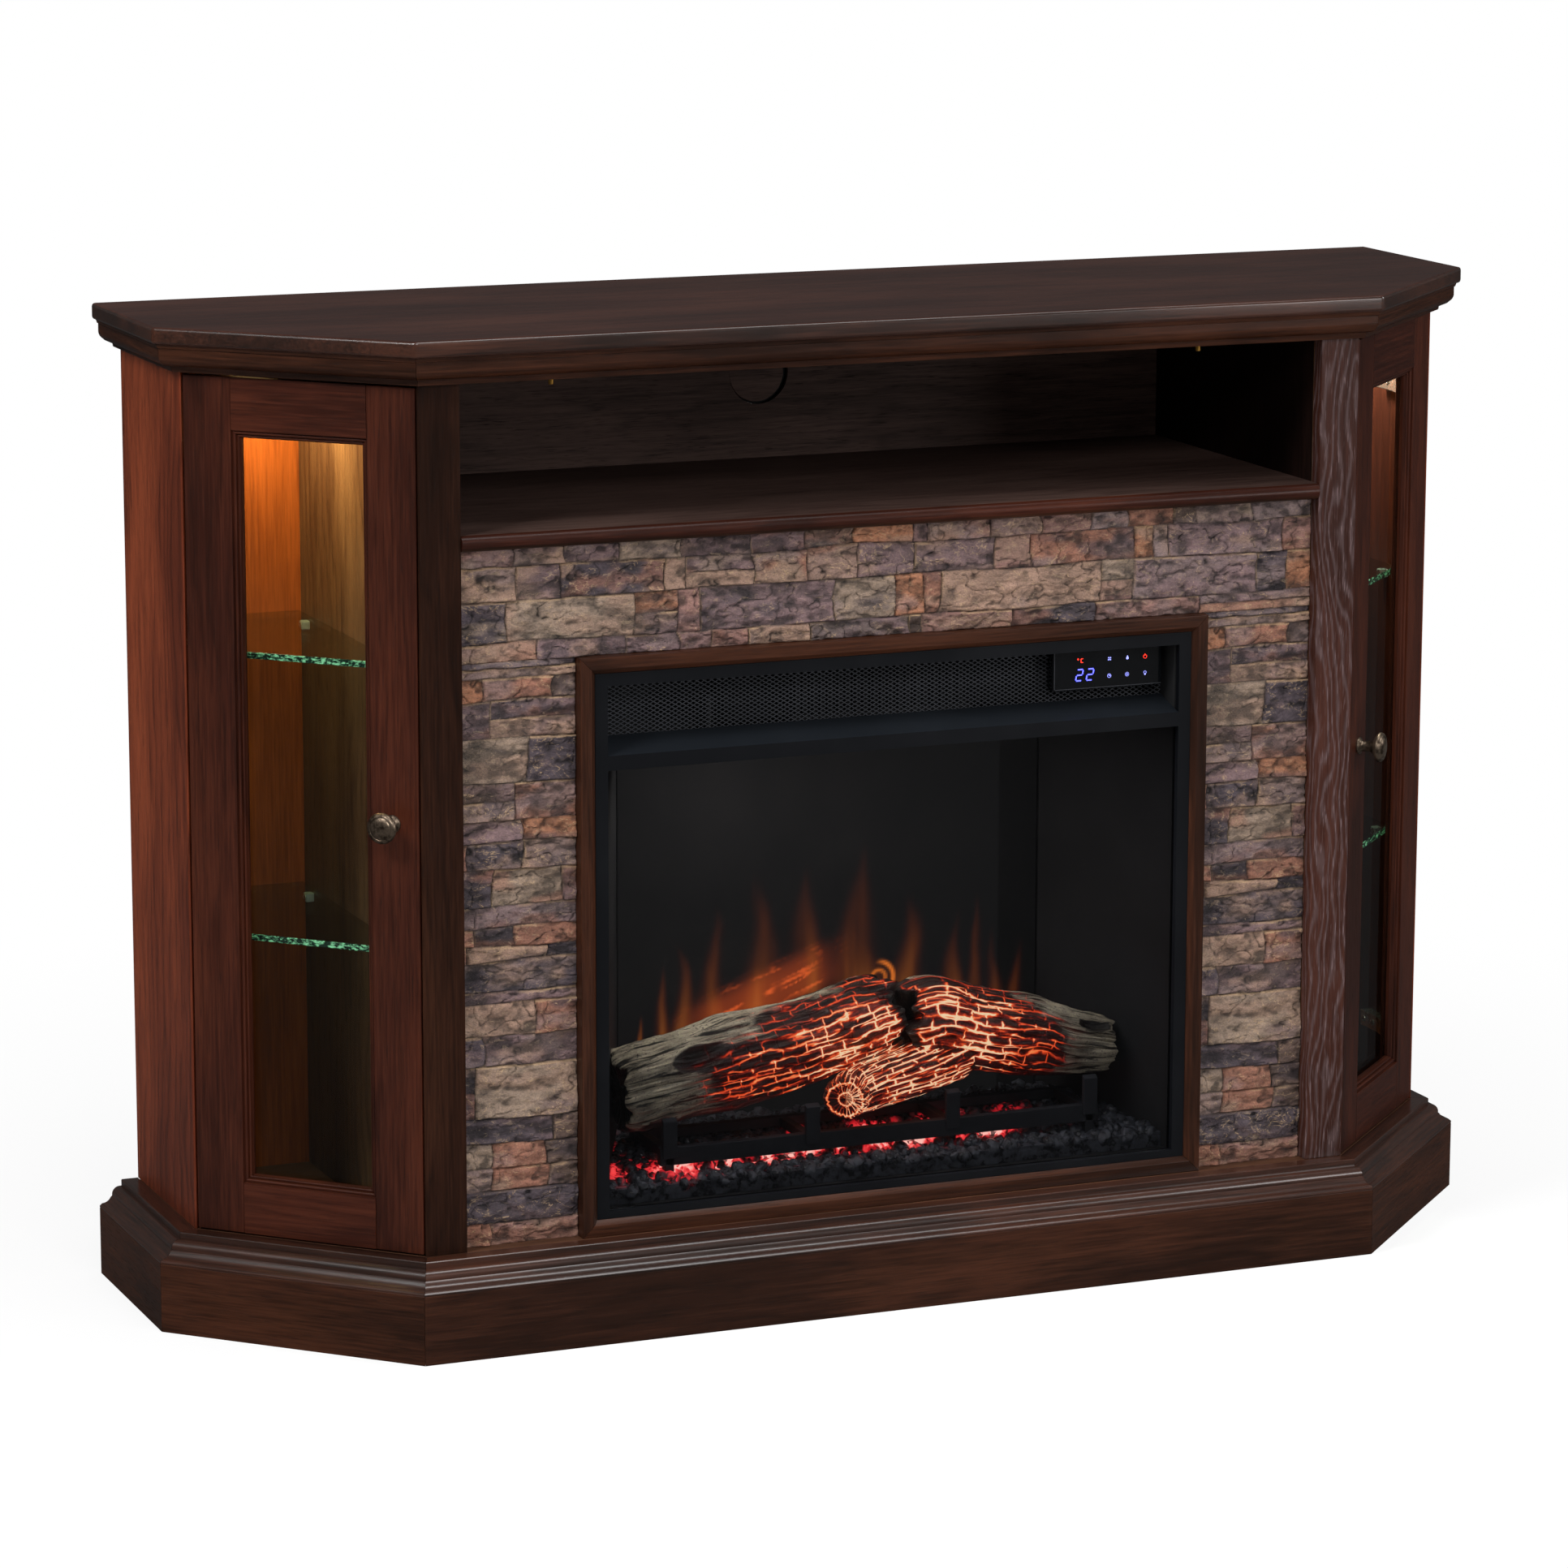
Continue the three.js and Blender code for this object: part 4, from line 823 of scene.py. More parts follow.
@dataclass(frozen=True)
class Grit:
    """Smooth seeded noise over points in space, for shapes that are made in code."""

    seed: int = 1

    def _knots(self, cell: Array) -> Array:
        """A fixed random number from -1 to 1 for each whole-numbered place."""
        mixed = (cell @ np.array([73856093, 19349663, 83492791]) + self.seed * 40503) & 0xFFFFFFFF
        for shift, factor in ((16, 0x45D9F3B), (15, 0x2C1B3C6D), (16, 0x297A2D39)):
            mixed = ((mixed ^ (mixed >> shift)) * factor) & 0xFFFFFFFF
        return (mixed & 0xFFFF) / 32767.5 - 1

    def at(self, points: Array, scale: float | Sequence[float], octaves: int = 3) -> Array:
        """Noise from about -1 to 1.

        Args:
            points: The places, one row each.
            scale: Features for each metre, on all axes or on each.
            octaves: How many finer layers are added, each half as strong.

        Returns:
            One number for each place.
        """
        total = np.zeros(len(points))
        for octave in range(octaves):
            place = points * np.asarray(scale) * 2 ** octave + 17.3 * octave
            cell = np.floor(place).astype(np.int64)
            part = place - cell
            part = part * part * (3 - 2 * part)
            for corner in np.ndindex(2, 2, 2):
                share = np.prod(np.where(corner, part, 1 - part), axis=1)
                total += share * self._knots(cell + np.array(corner)) * 0.5 ** octave
        return total


# -------------------- the console


@dataclass(frozen=True)
class Plan:
    """The case's outline from above, and the saw cuts that mitre a moulding round it."""

    case_half: float
    front: float
    back: float
    facet_run: float = 165.3 * MM
    joint: float = 0.15 * MM
    mitre: float = -math.tan(math.pi / 8)

    @property
    def front_half(self) -> float:
        """Half the straight front."""
        return self.case_half - self.facet_run

    def outline(self, out: float) -> list[Pair]:
        """The whole outline, stood off by out."""
        slope = out * -self.mitre
        left = [(-self.case_half - out, self.back),
                (-self.case_half - out, self.front + self.facet_run - slope),
                (-self.front_half - slope, self.front - out)]
        return left + [(-x, y) for x, y in reversed(left)]


class Console:
    """The wooden case: plinth, mouldings, uprights, shelf, backs, crown and top."""

    def __init__(self) -> None:
        deck = high("bottom_deck")
        self.plan = Plan(deck.x, low("pilaster_left").y, high("top_slab").y)
        self.plinth_top = high("plinth_front").z
        self.deck_top = deck.z
        self.crown_bottom = low("crown_front").z
        self.top_bottom = low("top_slab").z
        self.plinth_out = self.plan.front - low("plinth_front").y

    def build(self) -> None:
        """Makes every wooden piece of the case."""
        self.plinth()
        self.base_moulding()
        self.crown()
        self.top()
        self.deck()
        self.uprights()
        self.shelf()
        self.backs()

    def moulding(self, name: str, profile: Profile, wood: Wood, smooth: float = 38.0) -> None:
        """A profile of (out, height) points run along the front, both facets and both sides.

        Args:
            name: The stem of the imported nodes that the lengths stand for.
            profile: The section.
            wood: What it is made of.
            smooth: The angle below which its faces are shaded as one.
        """
        plan = self.plan
        cut, half = plan.mitre, math.sqrt(0.5)
        up = (0, 0, 1)
        front = sawn_length(f"{name}_front_length", profile, 2 * plan.front_half, (cut, cut), plan.joint)
        move(front, frame_of((-plan.front_half, plan.front, 0), (1, 0, 0), (0, -1, 0), up))
        hand_in(paint(front, wood.build(Grain.ACROSS)), "case", "mahogany", f"{name}_front", smooth=smooth)
        corner_y = plan.front + plan.facet_run
        for side in Side:
            sign = side.value
            facet = sawn_length(f"{name}_facet", profile, plan.facet_run / half, (cut, cut), plan.joint)
            move(facet, frame_of(
                (sign * plan.case_half, corner_y, 0), (-sign * half, -half, 0), (sign * half, -half, 0), up))
            paint(facet, wood.build(side.facet_grain, 0.5))
            run = sawn_length(f"{name}_run", profile, plan.back - corner_y, (0, cut), plan.joint)
            move(run, frame_of((sign * plan.case_half, plan.back, 0), (0, -1, 0), (sign, 0, 0), up))
            paint(run, wood.build(Grain.DEPTH, 0.3))
            hand_in(join(f"{name}_{side.word}_length", [facet, run]), "case", "mahogany",
                    f"{name}_{side.word}", smooth=smooth)

    def plinth(self) -> None:
        """The plinth boards, with an eased top edge and a glued cleat, and the rail across the back."""
        thick, cleat, ease = 18 * MM, 18 * MM, 1.2 * MM
        out, top = self.plinth_out, self.plinth_top
        self.moulding("plinth", [
            (out, 0.0), *arc((out - ease, top - ease), ease, 0, 90, 3), (-cleat, top), (-cleat, top - cleat),
            (out - thick, top - cleat), (out - thick, 0.0)], Look.FRONT)
        hand_in(paint(soften(copy_of("plinth_back", "plinth_rail"), 0.6 * MM),
                      Look.MAHOGANY.build(Grain.ACROSS, 1.1)), "case", "mahogany", "plinth_back")

    def base_moulding(self) -> None:
        """The base moulding: a stepped ledge, a bead and a cove that runs out to the plinth."""
        ledge, rise, bead, cove, seat, ease = 16.2 * MM, 6.1 * MM, 7.5 * MM, 9.0 * MM, 0.3 * MM, 0.7 * MM
        bottom, top, toe = self.plinth_top, self.deck_top, 2.0 * MM
        bead_at = (ledge + 1.7 * MM, top - rise - bead)
        cove_at = (self.plinth_out - 2.4 * MM, bottom + 3.4 * MM + cove)
        self.moulding("base_moulding", [
            (seat, bottom), (self.plinth_out, bottom), (self.plinth_out, bottom + toe - ease),
            (self.plinth_out - ease, bottom + toe), *arc(cove_at, cove, 270, 205, 9),
            *arc(bead_at, bead, -8, 90, 12), (ledge, top - rise), (ledge, top - ease), (ledge - ease, top),
            (seat, top)], Look.MOULDING)

    def crown(self) -> None:
        """The crown: fillet, cove, bead and a cap under the top."""
        ease, bead, bead_out = 0.6 * MM, 8.0 * MM, 20.4 * MM
        bottom, top = self.crown_bottom, self.top_bottom
        fillet, fillet_top, cap = 7.0 * MM, bottom + 5.6 * MM, top - 4.0 * MM
        bead_at = (bead_out - bead, fillet_top + 1.4 * MM + bead)
        self.moulding(
            "crown", [(-BOARD, bottom), (fillet - ease, bottom), (fillet, bottom + ease),
            (fillet + 0.8 * MM, fillet_top), (14.4 * MM, fillet_top + ease), *arc(bead_at, bead, -55, 0, 9),
            (bead_out, cap), (bead_out + 1.0 * MM, cap + 0.4 * MM), (bead_out + 2.2 * MM, top),
            (-BOARD, top)], Look.FRONT)

    def top(self) -> None:
        """The top board, rounded over, with the mouldings' glossier wood on its edge."""
        out = self.plan.front - low("top_slab").y
        piece = prism("top_board", self.plan.outline(out), self.top_bottom, high("top_slab").z, 3.2 * MM, 4)
        paint(piece, Look.TOP.build(Grain.ACROSS),
              Look.MOULDING.build(Grain.ACROSS, 0.8),
              by=lambda face: abs(face.normal.z) < 0.8)
        hand_in(piece, "case", "top_veneer", "top_slab")

    def deck(self) -> None:
        """The deck, in one paler wood."""
        hand_in(paint(soften(copy_of("bottom_deck", "deck_board"), 0.4 * MM),
                      Look.FLOOR.build(Grain.ACROSS)), "case", "mahogany", "bottom_deck")

    def uprights(self) -> None:
        """Side panels, hollow-core dividers and pilasters, the right one with an open, pale grain. The side
        panels' outside is brightened as painted light; the dividers' inner faces and the left pilaster are
        darkened as painted shade.
        """
        plan, seat = self.plan, 0.3 * MM
        sliver, door, gap = 2 * MM, 18 * MM, 1.5 * MM
        half = math.sqrt(0.5)
        inner, post_back = high("media_shelf").x + seat, plan.front + BOARD + seat
        back = low("media_back").y - seat
        for side in Side:
            sign = side.value
            tip_x, tip_y = plan.case_half - sliver * half, plan.front + plan.facet_run - sliver * half
            wall = plan.case_half - BOARD
            outline = [(plan.case_half, plan.back), (plan.case_half, plan.front + plan.facet_run),
                       (tip_x, tip_y), (wall, tip_y + (tip_x - wall)), (wall, plan.back)]
            panel = prism(f"side_board_{side.word}", [(sign * x, y) for x, y in outline],
                          self.deck_top, self.crown_bottom)
            # outside, the brightened side veneer as painted light; inside, the mahogany
            paint(panel, Look.SIDE.build(Grain.UPRIGHT, 0.2 + 0.1 * sign),
                  Look.MAHOGANY.build(Grain.UPRIGHT, 0.7),
                  by=lambda face, s=sign: face.normal.x * s < -0.9)
            hand_in(panel, "case", "side_veneer", f"side_panel_{side.word}")

            edge_y = plan.front + (door + gap) / half
            outline = [(inner, post_back), (plan.front_half + post_back - edge_y, post_back),
                       (plan.front_half, edge_y), (plan.front_half, back), (inner, back)]
            divider = prism(f"divider_board_{side.word}", [(sign * x, y) for x, y in outline],
                            self.deck_top, self.top_bottom)
            # the faces towards the middle opening are painted near black as painted shade
            paint(divider, Look.OLIVE.build(Grain.UPRIGHT, 1.7),
                  Look.NIGHT.build(Grain.UPRIGHT, 1.2),
                  by=lambda face, s=sign: face.normal.x * s < -0.5)
            hand_in(divider, "case", "mahogany", f"divider_{side.word}")

            # the left pilaster gets the darker copy of the mahogany as painted shade
            wood = Look.POST if side is Side.LEFT else Look.OAK
            post = soften(copy_of(f"pilaster_{side.word}", f"post_{side.word}"), 0.7 * MM, 3)
            hand_in(paint(post, wood.build(Grain.UPRIGHT, 0.9 + 0.2 * sign)), "case", "mahogany",
                    f"pilaster_{side.word}")

    def shelf(self) -> None:
        """The media shelf, with a rounded nose."""
        start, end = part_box("media_shelf")
        nose = (end.z - start.z) / 2
        outline = [(end.y, start.z), (end.y, end.z), *arc((start.y + nose, end.z - nose), nose, 90, 270, 12)]
        face = ngon("media_shelf_board", [(start.x, y, z) for y, z in outline])
        piece = extrude(face, (end.x - start.x, 0, 0))
        paint(piece, Look.MAHOGANY.build(Grain.ACROSS, 0.8),
              Look.SHADED.build(Grain.ACROSS, 0.8),
              Look.FRONT.build(Grain.ACROSS, 0.8),
              by=lambda face: 1 if face.normal.z > 0.99 else 2 * (face.normal.z < -0.6))
        hand_in(piece, "case", "mahogany", "media_shelf")

    def backs(self) -> None:
        """Backs with veneer inside and bare hardboard behind, their screws, the port cover and the pins."""
        screw = turned("screw", Fastening.PAN_HEAD, 16, (0, 1, 0))
        paint(screw, Look.BRASS.build())
        inset, pitch = 9 * MM, 190 * MM
        for node in ("cabinet_back_left", "cabinet_back_right", "media_back"):
            start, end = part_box(node)
            wide = node == "media_back"
            piece = copy_of(node, f"{node}_board")
            grain = Grain.ACROSS if wide else Grain.UPRIGHT
            front = Look.BACKING if wide else Look.CABINET
            paint(piece, front.build(grain, 0.4),
                  Look.HARDBOARD.build(grain, 0.6),
                  by=lambda face: face.normal.y > 0.5)
            heads = []
            for z in (start.z + inset, end.z - inset):
                count = max(2, round((end.x - start.x) / pitch))
                for i in range(count):
                    x = start.x + inset + (end.x - start.x - 2 * inset) * i / (count - 1)
                    heads.append(duplicate(screw, Matrix.Translation((x, end.y, z))))
            piece = join(f"{node}_board", [piece, *heads])
            hand_in(piece, "case", "hardboard", node)
        bpy.data.objects.remove(screw)
        self.port_cover()
        self.crown_pins()

    def port_cover(self) -> None:
        """The round cover in the cable hole, a little to the left of its middle, over a black disc that
        paints the shade in the gap round the cover.
        """
        height, hole, cover, sides = 816 * MM, 29.9, 27.6, 64
        face, back = low("media_back").y, high("media_back").y
        # the black disc behind the cover is painted shade for the gap round it
        stop = turned(
            "stop", [(0, 1.0), (hole, 1.0), (hole, 0.2), (0, 0.2)], sides, (0, -1, 0), (0, back, height))
        paint(stop, Look.GLOSS.build())
        disc = turned("disc", [(0, 3.4), (cover - 0.6, 3.4), (cover, 2.8), (cover, 0), (0, 0)], sides,
                      (0, -1, 0), (-2.2 * MM, face + 3.6 * MM, height))
        paint(disc, Look.BACKING.build(Grain.ACROSS, 1.9))
        hand_in(join("port_cover", [stop, disc]), "case", "mahogany", smooth=50)

    def crown_pins(self) -> None:
        """Two small brass pins under the crown."""
        section = [(0, 6), (2.0, 6), (2.4, 5.5), (2.4, 0), (0, 0)]
        pins = [turned("pin", section, 20, (0, 0, -1), (x, -150 * MM, self.crown_bottom))
                for x in (-332.7 * MM, 295.2 * MM)]
        hand_in(paint(join("crown_pins", pins), Look.BRASS.build()), "case", "nickel")


class Fastening:
    """Sections of the small turned fastenings, as (radius, height) points in millimetres."""

    PAN_HEAD = ((0, 0.6), (0.7, 0.6), (1.0, 1.1), (2.2, 1.0), (3.1, 0.5), (3.2, 0), (3.2, -0.3), (0, -0.3))
    KNOB = (
        (0, 0), (8.0, 0), (8.2, 0.8), (7.6, 2.0), (5.6, 3.2), (5.0, 4.6), (4.7, 8.0), (5.2, 12.0),
        (7.4, 15.2), (11.6, 17.6), (13.6, 19.4), (14.0, 21.2), (13.5, 22.8), (12.2, 24.0), (10.6, 24.4),
        (10.1, 23.9), (9.6, 24.2), (8.6, 25.2), (5.6, 25.9), (0, 26.0))
    PUCK_RING = ((20.5, 9.0), (27.6, 9.0), (28.0, 8.4), (28.0, 2.0), (27.0, 0.6), (25.0, 0), (22.5, 0.4),
                 (20.6, 2.2), (20.5, 9.0))
    PUCK_LENS = ((0, 1.6), (8.0, 1.7), (15.0, 2.2), (20.5, 3.2), (20.5, 6.0), (0, 6.0))


# -------------------- the doors


@dataclass
class Door:
    """A glazed cabinet door, made flat: X from the hinge axis, Y into the cabinet, Z up."""

    side: Side
    edge: float = 0.75 * MM
    width: float = 165.3 * math.sqrt(2) * MM - 7 * MM
    face: float = 1.0 * MM
    thick: float = 18 * MM
    stile: float = 47 * MM
    bead: float = 7 * MM
    pane_at: float = 12.3 * MM
    pane_thick: float = 4 * MM
    joint: float = 0.12 * MM
    knob_from_edge: float = 26 * MM
    knob_height: float = 480 * MM

    def __post_init__(self) -> None:
        self.word = self.side.word
        self.body = f"door_{self.word}"
        self.bottom, self.top = low(f"door_frame_{self.word}").z, high(f"door_frame_{self.word}").z
        joint = next(j for j in frame["joints"] if j["child"] == self.body)
        turn = Matrix.Rotation(self.side.value * math.pi / 4, 4, "Z")
        self.hang = Matrix.Translation(joint["pos_m"]) @ turn @ Matrix.Scale(-self.side.value, 4, (1, 0, 0))

    def build(self) -> None:
        """Makes the frame, the pane, the knob and the case's stop behind the door's head."""
        far = self.edge + self.width
        upright = Look.MAHOGANY.build(Grain.UPRIGHT, 0.6 + 0.3 * self.side.value)
        level = Look.MAHOGANY.build(self.side.facet_grain, 0.9)
        pieces = []
        for x in (self.edge, far - self.stile):
            stile = board("stile", (x, self.face, self.bottom),
                          (x + self.stile, self.face + self.thick, self.top), 0.9 * MM, 3)
            pieces.append(paint(stile, upright))
        for z in (self.bottom, self.top - self.stile):
            rail = board(
                "rail", (self.edge + self.stile + self.joint, self.face, z),
                (far - self.stile - self.joint, self.face + self.thick, z + self.stile), 0.5 * MM)
            pieces.append(paint(rail, level))
        pieces += self.beading(upright, level)
        hand_in(move(join(f"door_leaf_{self.word}", pieces), self.hang), self.body, "mahogany",
                f"door_frame_{self.word}")

        inset = self.stile + 0.5 * MM
        pane = board(f"door_pane_{self.word}", (self.edge + inset, self.pane_at, self.bottom + inset),
                     (far - inset, self.pane_at + self.pane_thick, self.top - inset), 0.3 * MM, 1)
        hand_in(move(paint(pane, Look.CABINET_GLASS.build()), self.hang), self.body, "clear_glass",
                f"door_glass_{self.word}")

        behind = self.face + self.thick + 1.5 * MM
        stop = board(f"door_stop_{self.word}", (self.edge + self.stile, behind, self.top - 8 * MM),
                     (far - 20 * MM, behind + 3 * MM, low("crown_front").z), 0.3 * MM, 1)
        hand_in(move(paint(stop, upright), self.hang), "case", "mahogany")

        place = (far - self.knob_from_edge, self.face, self.knob_height)
        knob = turned(f"knob_{self.word}", Fastening.KNOB, 56, (0, -1, 0), place)
        hand_in(move(paint(knob, Look.BRONZE.build()), self.hang), self.body, "bronze",
                f"door_knob_{self.word}", smooth=50)

    def beading(self, upright: Paint, level: Paint) -> list[Piece]:
        """The double bead round the pane, mitred at its corners."""
        back = self.face + 11 * MM
        hidden = -0.8 * MM
        profile = [
            (hidden, back), (hidden, self.face + 2.4 * MM), (0.2 * MM, self.face + 2.4 * MM),
            *arc((2.0 * MM, self.face + 3.6 * MM), 1.5 * MM, 205, 345, 6),
            (3.7 * MM, self.face + 5.0 * MM), *arc((5.0 * MM, self.face + 5.6 * MM), 1.2 * MM, 200, 345, 5),
            (6.5 * MM, self.face + 7.4 * MM), (self.bead, self.face + 8.0 * MM), (self.bead, back)]
        x0, x1 = self.edge + self.stile, self.edge + self.width - self.stile
        z0, z1 = self.bottom + self.stile, self.top - self.stile
        sides = (((x0, z0), (x1, z0), (0, 1), level), ((x0, z1), (x1, z1), (0, -1), level),
                 ((x0, z0), (x0, z1), (1, 0), upright), ((x1, z0), (x1, z1), (-1, 0), upright))
        return [paint(mitred_side("bead", profile, start, end, inward), material)
                for start, end, inward, material in sides]


def mitred_side(name: str, profile: Profile, start: Pair, end: Pair, inward: Pair,
                gap: float = 0.05 * MM) -> Piece:
    """One side of an upright picture frame.

    Args:
        name: The piece's name.
        profile: Its section, as (inward, y) points.
        start: The outer corner where it begins, as (x, z).
        end: The outer corner where it ends.
        inward: The way to the middle of the frame.
        gap: How much is sawn off each mitre.

    Returns:
        The side.
    """
    run = Vector((end[0] - start[0], 0, end[1] - start[1]))
    side = sawn_length(name, profile, run.length, (1, 1), gap)
    return move(side, frame_of(
        (start[0], 0, start[1]), run.normalized(), (inward[0], 0, inward[1]), (0, 1, 0)))


# -------------------- stone and trim


class Tint(Enum):
    """The colours of the stones, before the lime-coloured painted highlight, rust and painted shadow."""

    ROSE = srgb(134, 100, 92)
    TAN = srgb(146, 118, 101)
    PLUM = srgb(114, 92, 93)
    DUSK = srgb(72, 62, 68)
    SAGE = srgb(138, 119, 103)
    RUST = srgb(138, 94, 76)
    ORANGE = srgb(154, 104, 76)
    UMBER = srgb(88, 70, 62)
    GREY = srgb(124, 106, 104)


@dataclass(frozen=True)
class Course:
    """A row of split stones.

    Attributes:
        height: Its height.
        stones: Lengths and tints from left to right, such as "46 dusk, 42 orange/umber", where a
            slash puts one stone on another.
    """

    height: float
    stones: str

    def blocks(self) -> list[tuple[float, list[Tint]]]:
        """Each block's length and its tints from the top down."""
        pairs = [part.split() for part in self.stones.split(",")]
        return [(float(length), [Tint[word.upper()] for word in words.split("/")]) for length,
                words in pairs]


@dataclass
class Surround:
    """Ledgestone panels and the wooden trim round the firebox."""

    pitch: float = 1.0 * MM
    # the pale colour of the painted highlight on the stones' top and left edges, and of the lime lines on
    # their raised parts
    lime: Colour = srgb(180, 150, 114)
    header: tuple[Course, ...] = (
        Course(17, "52 rose, 50 tan, 49 plum, 62 sage, 65 plum, 52 plum, 48 sage, 56 orange, 14 rose,"
               "62 grey, 51 tan, 51 rose, 36 grey, 48 rust, 24 umber, 57 sage, 60 grey"),
        Course(30, "55 tan, 41 plum, 100 dusk, 19 tan, 63 plum/tan, 54 rust, 48 plum, 55 plum, 81 plum,"
               "37 rose, 103 rust, 21 orange, 14 grey, 117 plum, 29 rose"),
        Course(38, "46 dusk, 119 sage, 42 orange/umber, 22 rose, 131 plum, 56 sage, 30 orange, 15 rust,"
               "161 tan, 33 sage/rose, 128 plum, 30 dusk, 24 orange"),
        Course(16, "75 tan, 82 plum, 50 plum, 33 rose, 34 rose, 59 tan, 99 plum, 12 umber, 89 rose, 83 dusk,"
               "107 rose, 114 plum/tan"))
    cheek: tuple[Course, ...] = (
        Course(6, "110 dusk"), Course(8, "110 tan"), Course(21, "22 orange, 68 rust, 20 umber"),
        Course(35, "31 plum, 79 plum/tan"), Course(40, "65 sage, 45 dusk"),
        Course(33, "52 umber/tan, 58 rust"),
        Course(20, "58 plum, 52 orange"), Course(24, "9 rust, 50 dusk, 51 tan"),
        Course(33, "32 dusk, 65 sage, 13 orange"), Course(20, "110 plum"),
        Course(17, "13 rust, 39 dusk, 58 rust"),
        Course(14, "6 rust, 76 tan, 28 dusk"), Course(28, "110 dusk"), Course(12, "110 plum"),
        Course(28, "70 tan, 40 rust"), Course(29, "21 dusk, 89 plum"), Course(47, "14 dusk/rust, 96 sage"),
        Course(24, "87 dusk, 23 umber"), Course(22, "28 sage, 52 rust, 30 umber"),
        Course(22, "28 grey, 54 rust, 28 umber"), Course(28, "110 dusk"), Course(21, "26 rust, 84 rose"))

    def build(self) -> None:
        """Makes the panels and the trim."""
        material = self.stone_finish()
        for node, courses in (
                ("stone_header", self.header), ("stone_left", self.cheek), ("stone_right", self.cheek)):
            panel = self.panel(node, courses)
            hand_in(paint(panel, material), "case", "stone", node, smooth=60)
        self.trim()

    def panel(self, node: str, courses: Sequence[Course]) -> Piece:
        """One moulded panel: a grid pressed into stones, with straight sides and a flat back."""
        start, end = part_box(node)
        columns = round((end.x - start.x) / self.pitch) + 1
        rows = round((end.z - start.z) / self.pitch) + 1
        x, z = np.meshgrid(np.linspace(start.x, end.x, columns), np.linspace(start.z, end.z, rows))
        across, down = (x - start.x).ravel(), (end.z - z).ravel()
        relief, colour = self.press(across, down, end.x - start.x, end.z - start.z, courses)
        face = start.y + 3.4 * MM
        points = np.stack([x, face - relief.reshape(x.shape), z], axis=-1)
        piece = sheet(f"{node}_panel", points)
        # the colour holds the stones' painted shade and painted highlight
        dye(piece, "tint", colour)
        dye(piece, "relief", relief / (7 * MM))
        with editing(piece, True):
            bpy.ops.mesh.region_to_loop()
            bpy.ops.mesh.extrude_edges_move(TRANSFORM_OT_translate={"value": (0, 0.002, 0)})
            rim = bmesh.from_edit_mesh(piece.data)
            for vertex in rim.verts:
                if vertex.select:
                    vertex.co.y = end.y
            bmesh.update_edit_mesh(piece.data)
            bpy.ops.mesh.edge_face_add()
            bpy.ops.mesh.select_all(action="SELECT")
            bpy.ops.mesh.normals_make_consistent(inside=False)
        return piece

    def press(self, across: Array, down: Array, width: float, height: float,
              courses: Sequence[Course]) -> tuple[Array, Array]:
        """The relief and colour of a panel.

        Args:
            across: Distances from the panel's left edge.
            down: Distances from its top edge.
            width: The panel's width.
            height: Its height.
            courses: Its rows of stones, from the top down.

        Returns:
            The height of the face over the deepest joint, and its colour with painted shade and painted
            highlight, for each place.
        """
        flat = np.column_stack([across, np.zeros_like(across), down])
        relief = np.zeros_like(across)
        colour = np.tile(np.array(Tint.UMBER.value) * 0.3, (len(across), 1))
        chance = np.random.default_rng(11)
        share = height / sum(course.height for course in courses)
        level, upper = 0.0, np.full_like(across, -MM)
        for number, course in enumerate(courses):
            level += course.height * share
            last = number == len(courses) - 1
            lower = np.full_like(
                across, height + MM) if last else level + self.waver(across, number, 2.0 * MM)
            row = (down >= upper) & (down < lower)
            rise = ((down - upper) / np.maximum(lower - upper, MM))[row]
            blocks = course.blocks()
            stretch = width / sum(length for length, _ in blocks)
            place, left = 0.0, np.full(row.sum(), -MM)
            for index, (length, tints) in enumerate(blocks):
                place += length * stretch
                lean, bulge = chance.normal(0, 1.8) * MM, chance.normal(0, 1.5) * MM
                right = place + lean * (rise - 0.5) + bulge * (1 - (2 * rise - 1) ** 2)
                right = right + self.waver(down[row], 31 * number + index, 0.7 * MM)
                if index == len(blocks) - 1:
                    right = np.full(row.sum(), width + MM)
                for part, tint in enumerate(tints):
                    first, final = part / len(tints), (part + 1) / len(tints)
                    inside = (across[row] >= left) & (across[row] < right) & (rise >= first) & (rise < final)
                    if inside.any():
                        spot = np.flatnonzero(row)[inside]
                        tall = (lower - upper)[spot]
                        gaps = (across[spot] - left[inside], right[inside] - across[spot],
                                (rise[inside] - first) * tall, (final - rise[inside]) * tall)
                        relief[spot], colour[spot] = self.stone(flat[spot], gaps, tint, chance)
                left = right
            upper = lower
        return relief, colour

    @staticmethod
    def waver(along: Array, number: int, reach: float) -> Array:
        """How far a joint wanders from its straight line."""
        line = np.column_stack([along * 13.0, np.full_like(along, 7.7 * number), np.zeros_like(along)])
        return reach * (Grit(50).at(line, 1.0, 1) + 0.3 * Grit(51).at(line, 5.0, 2))

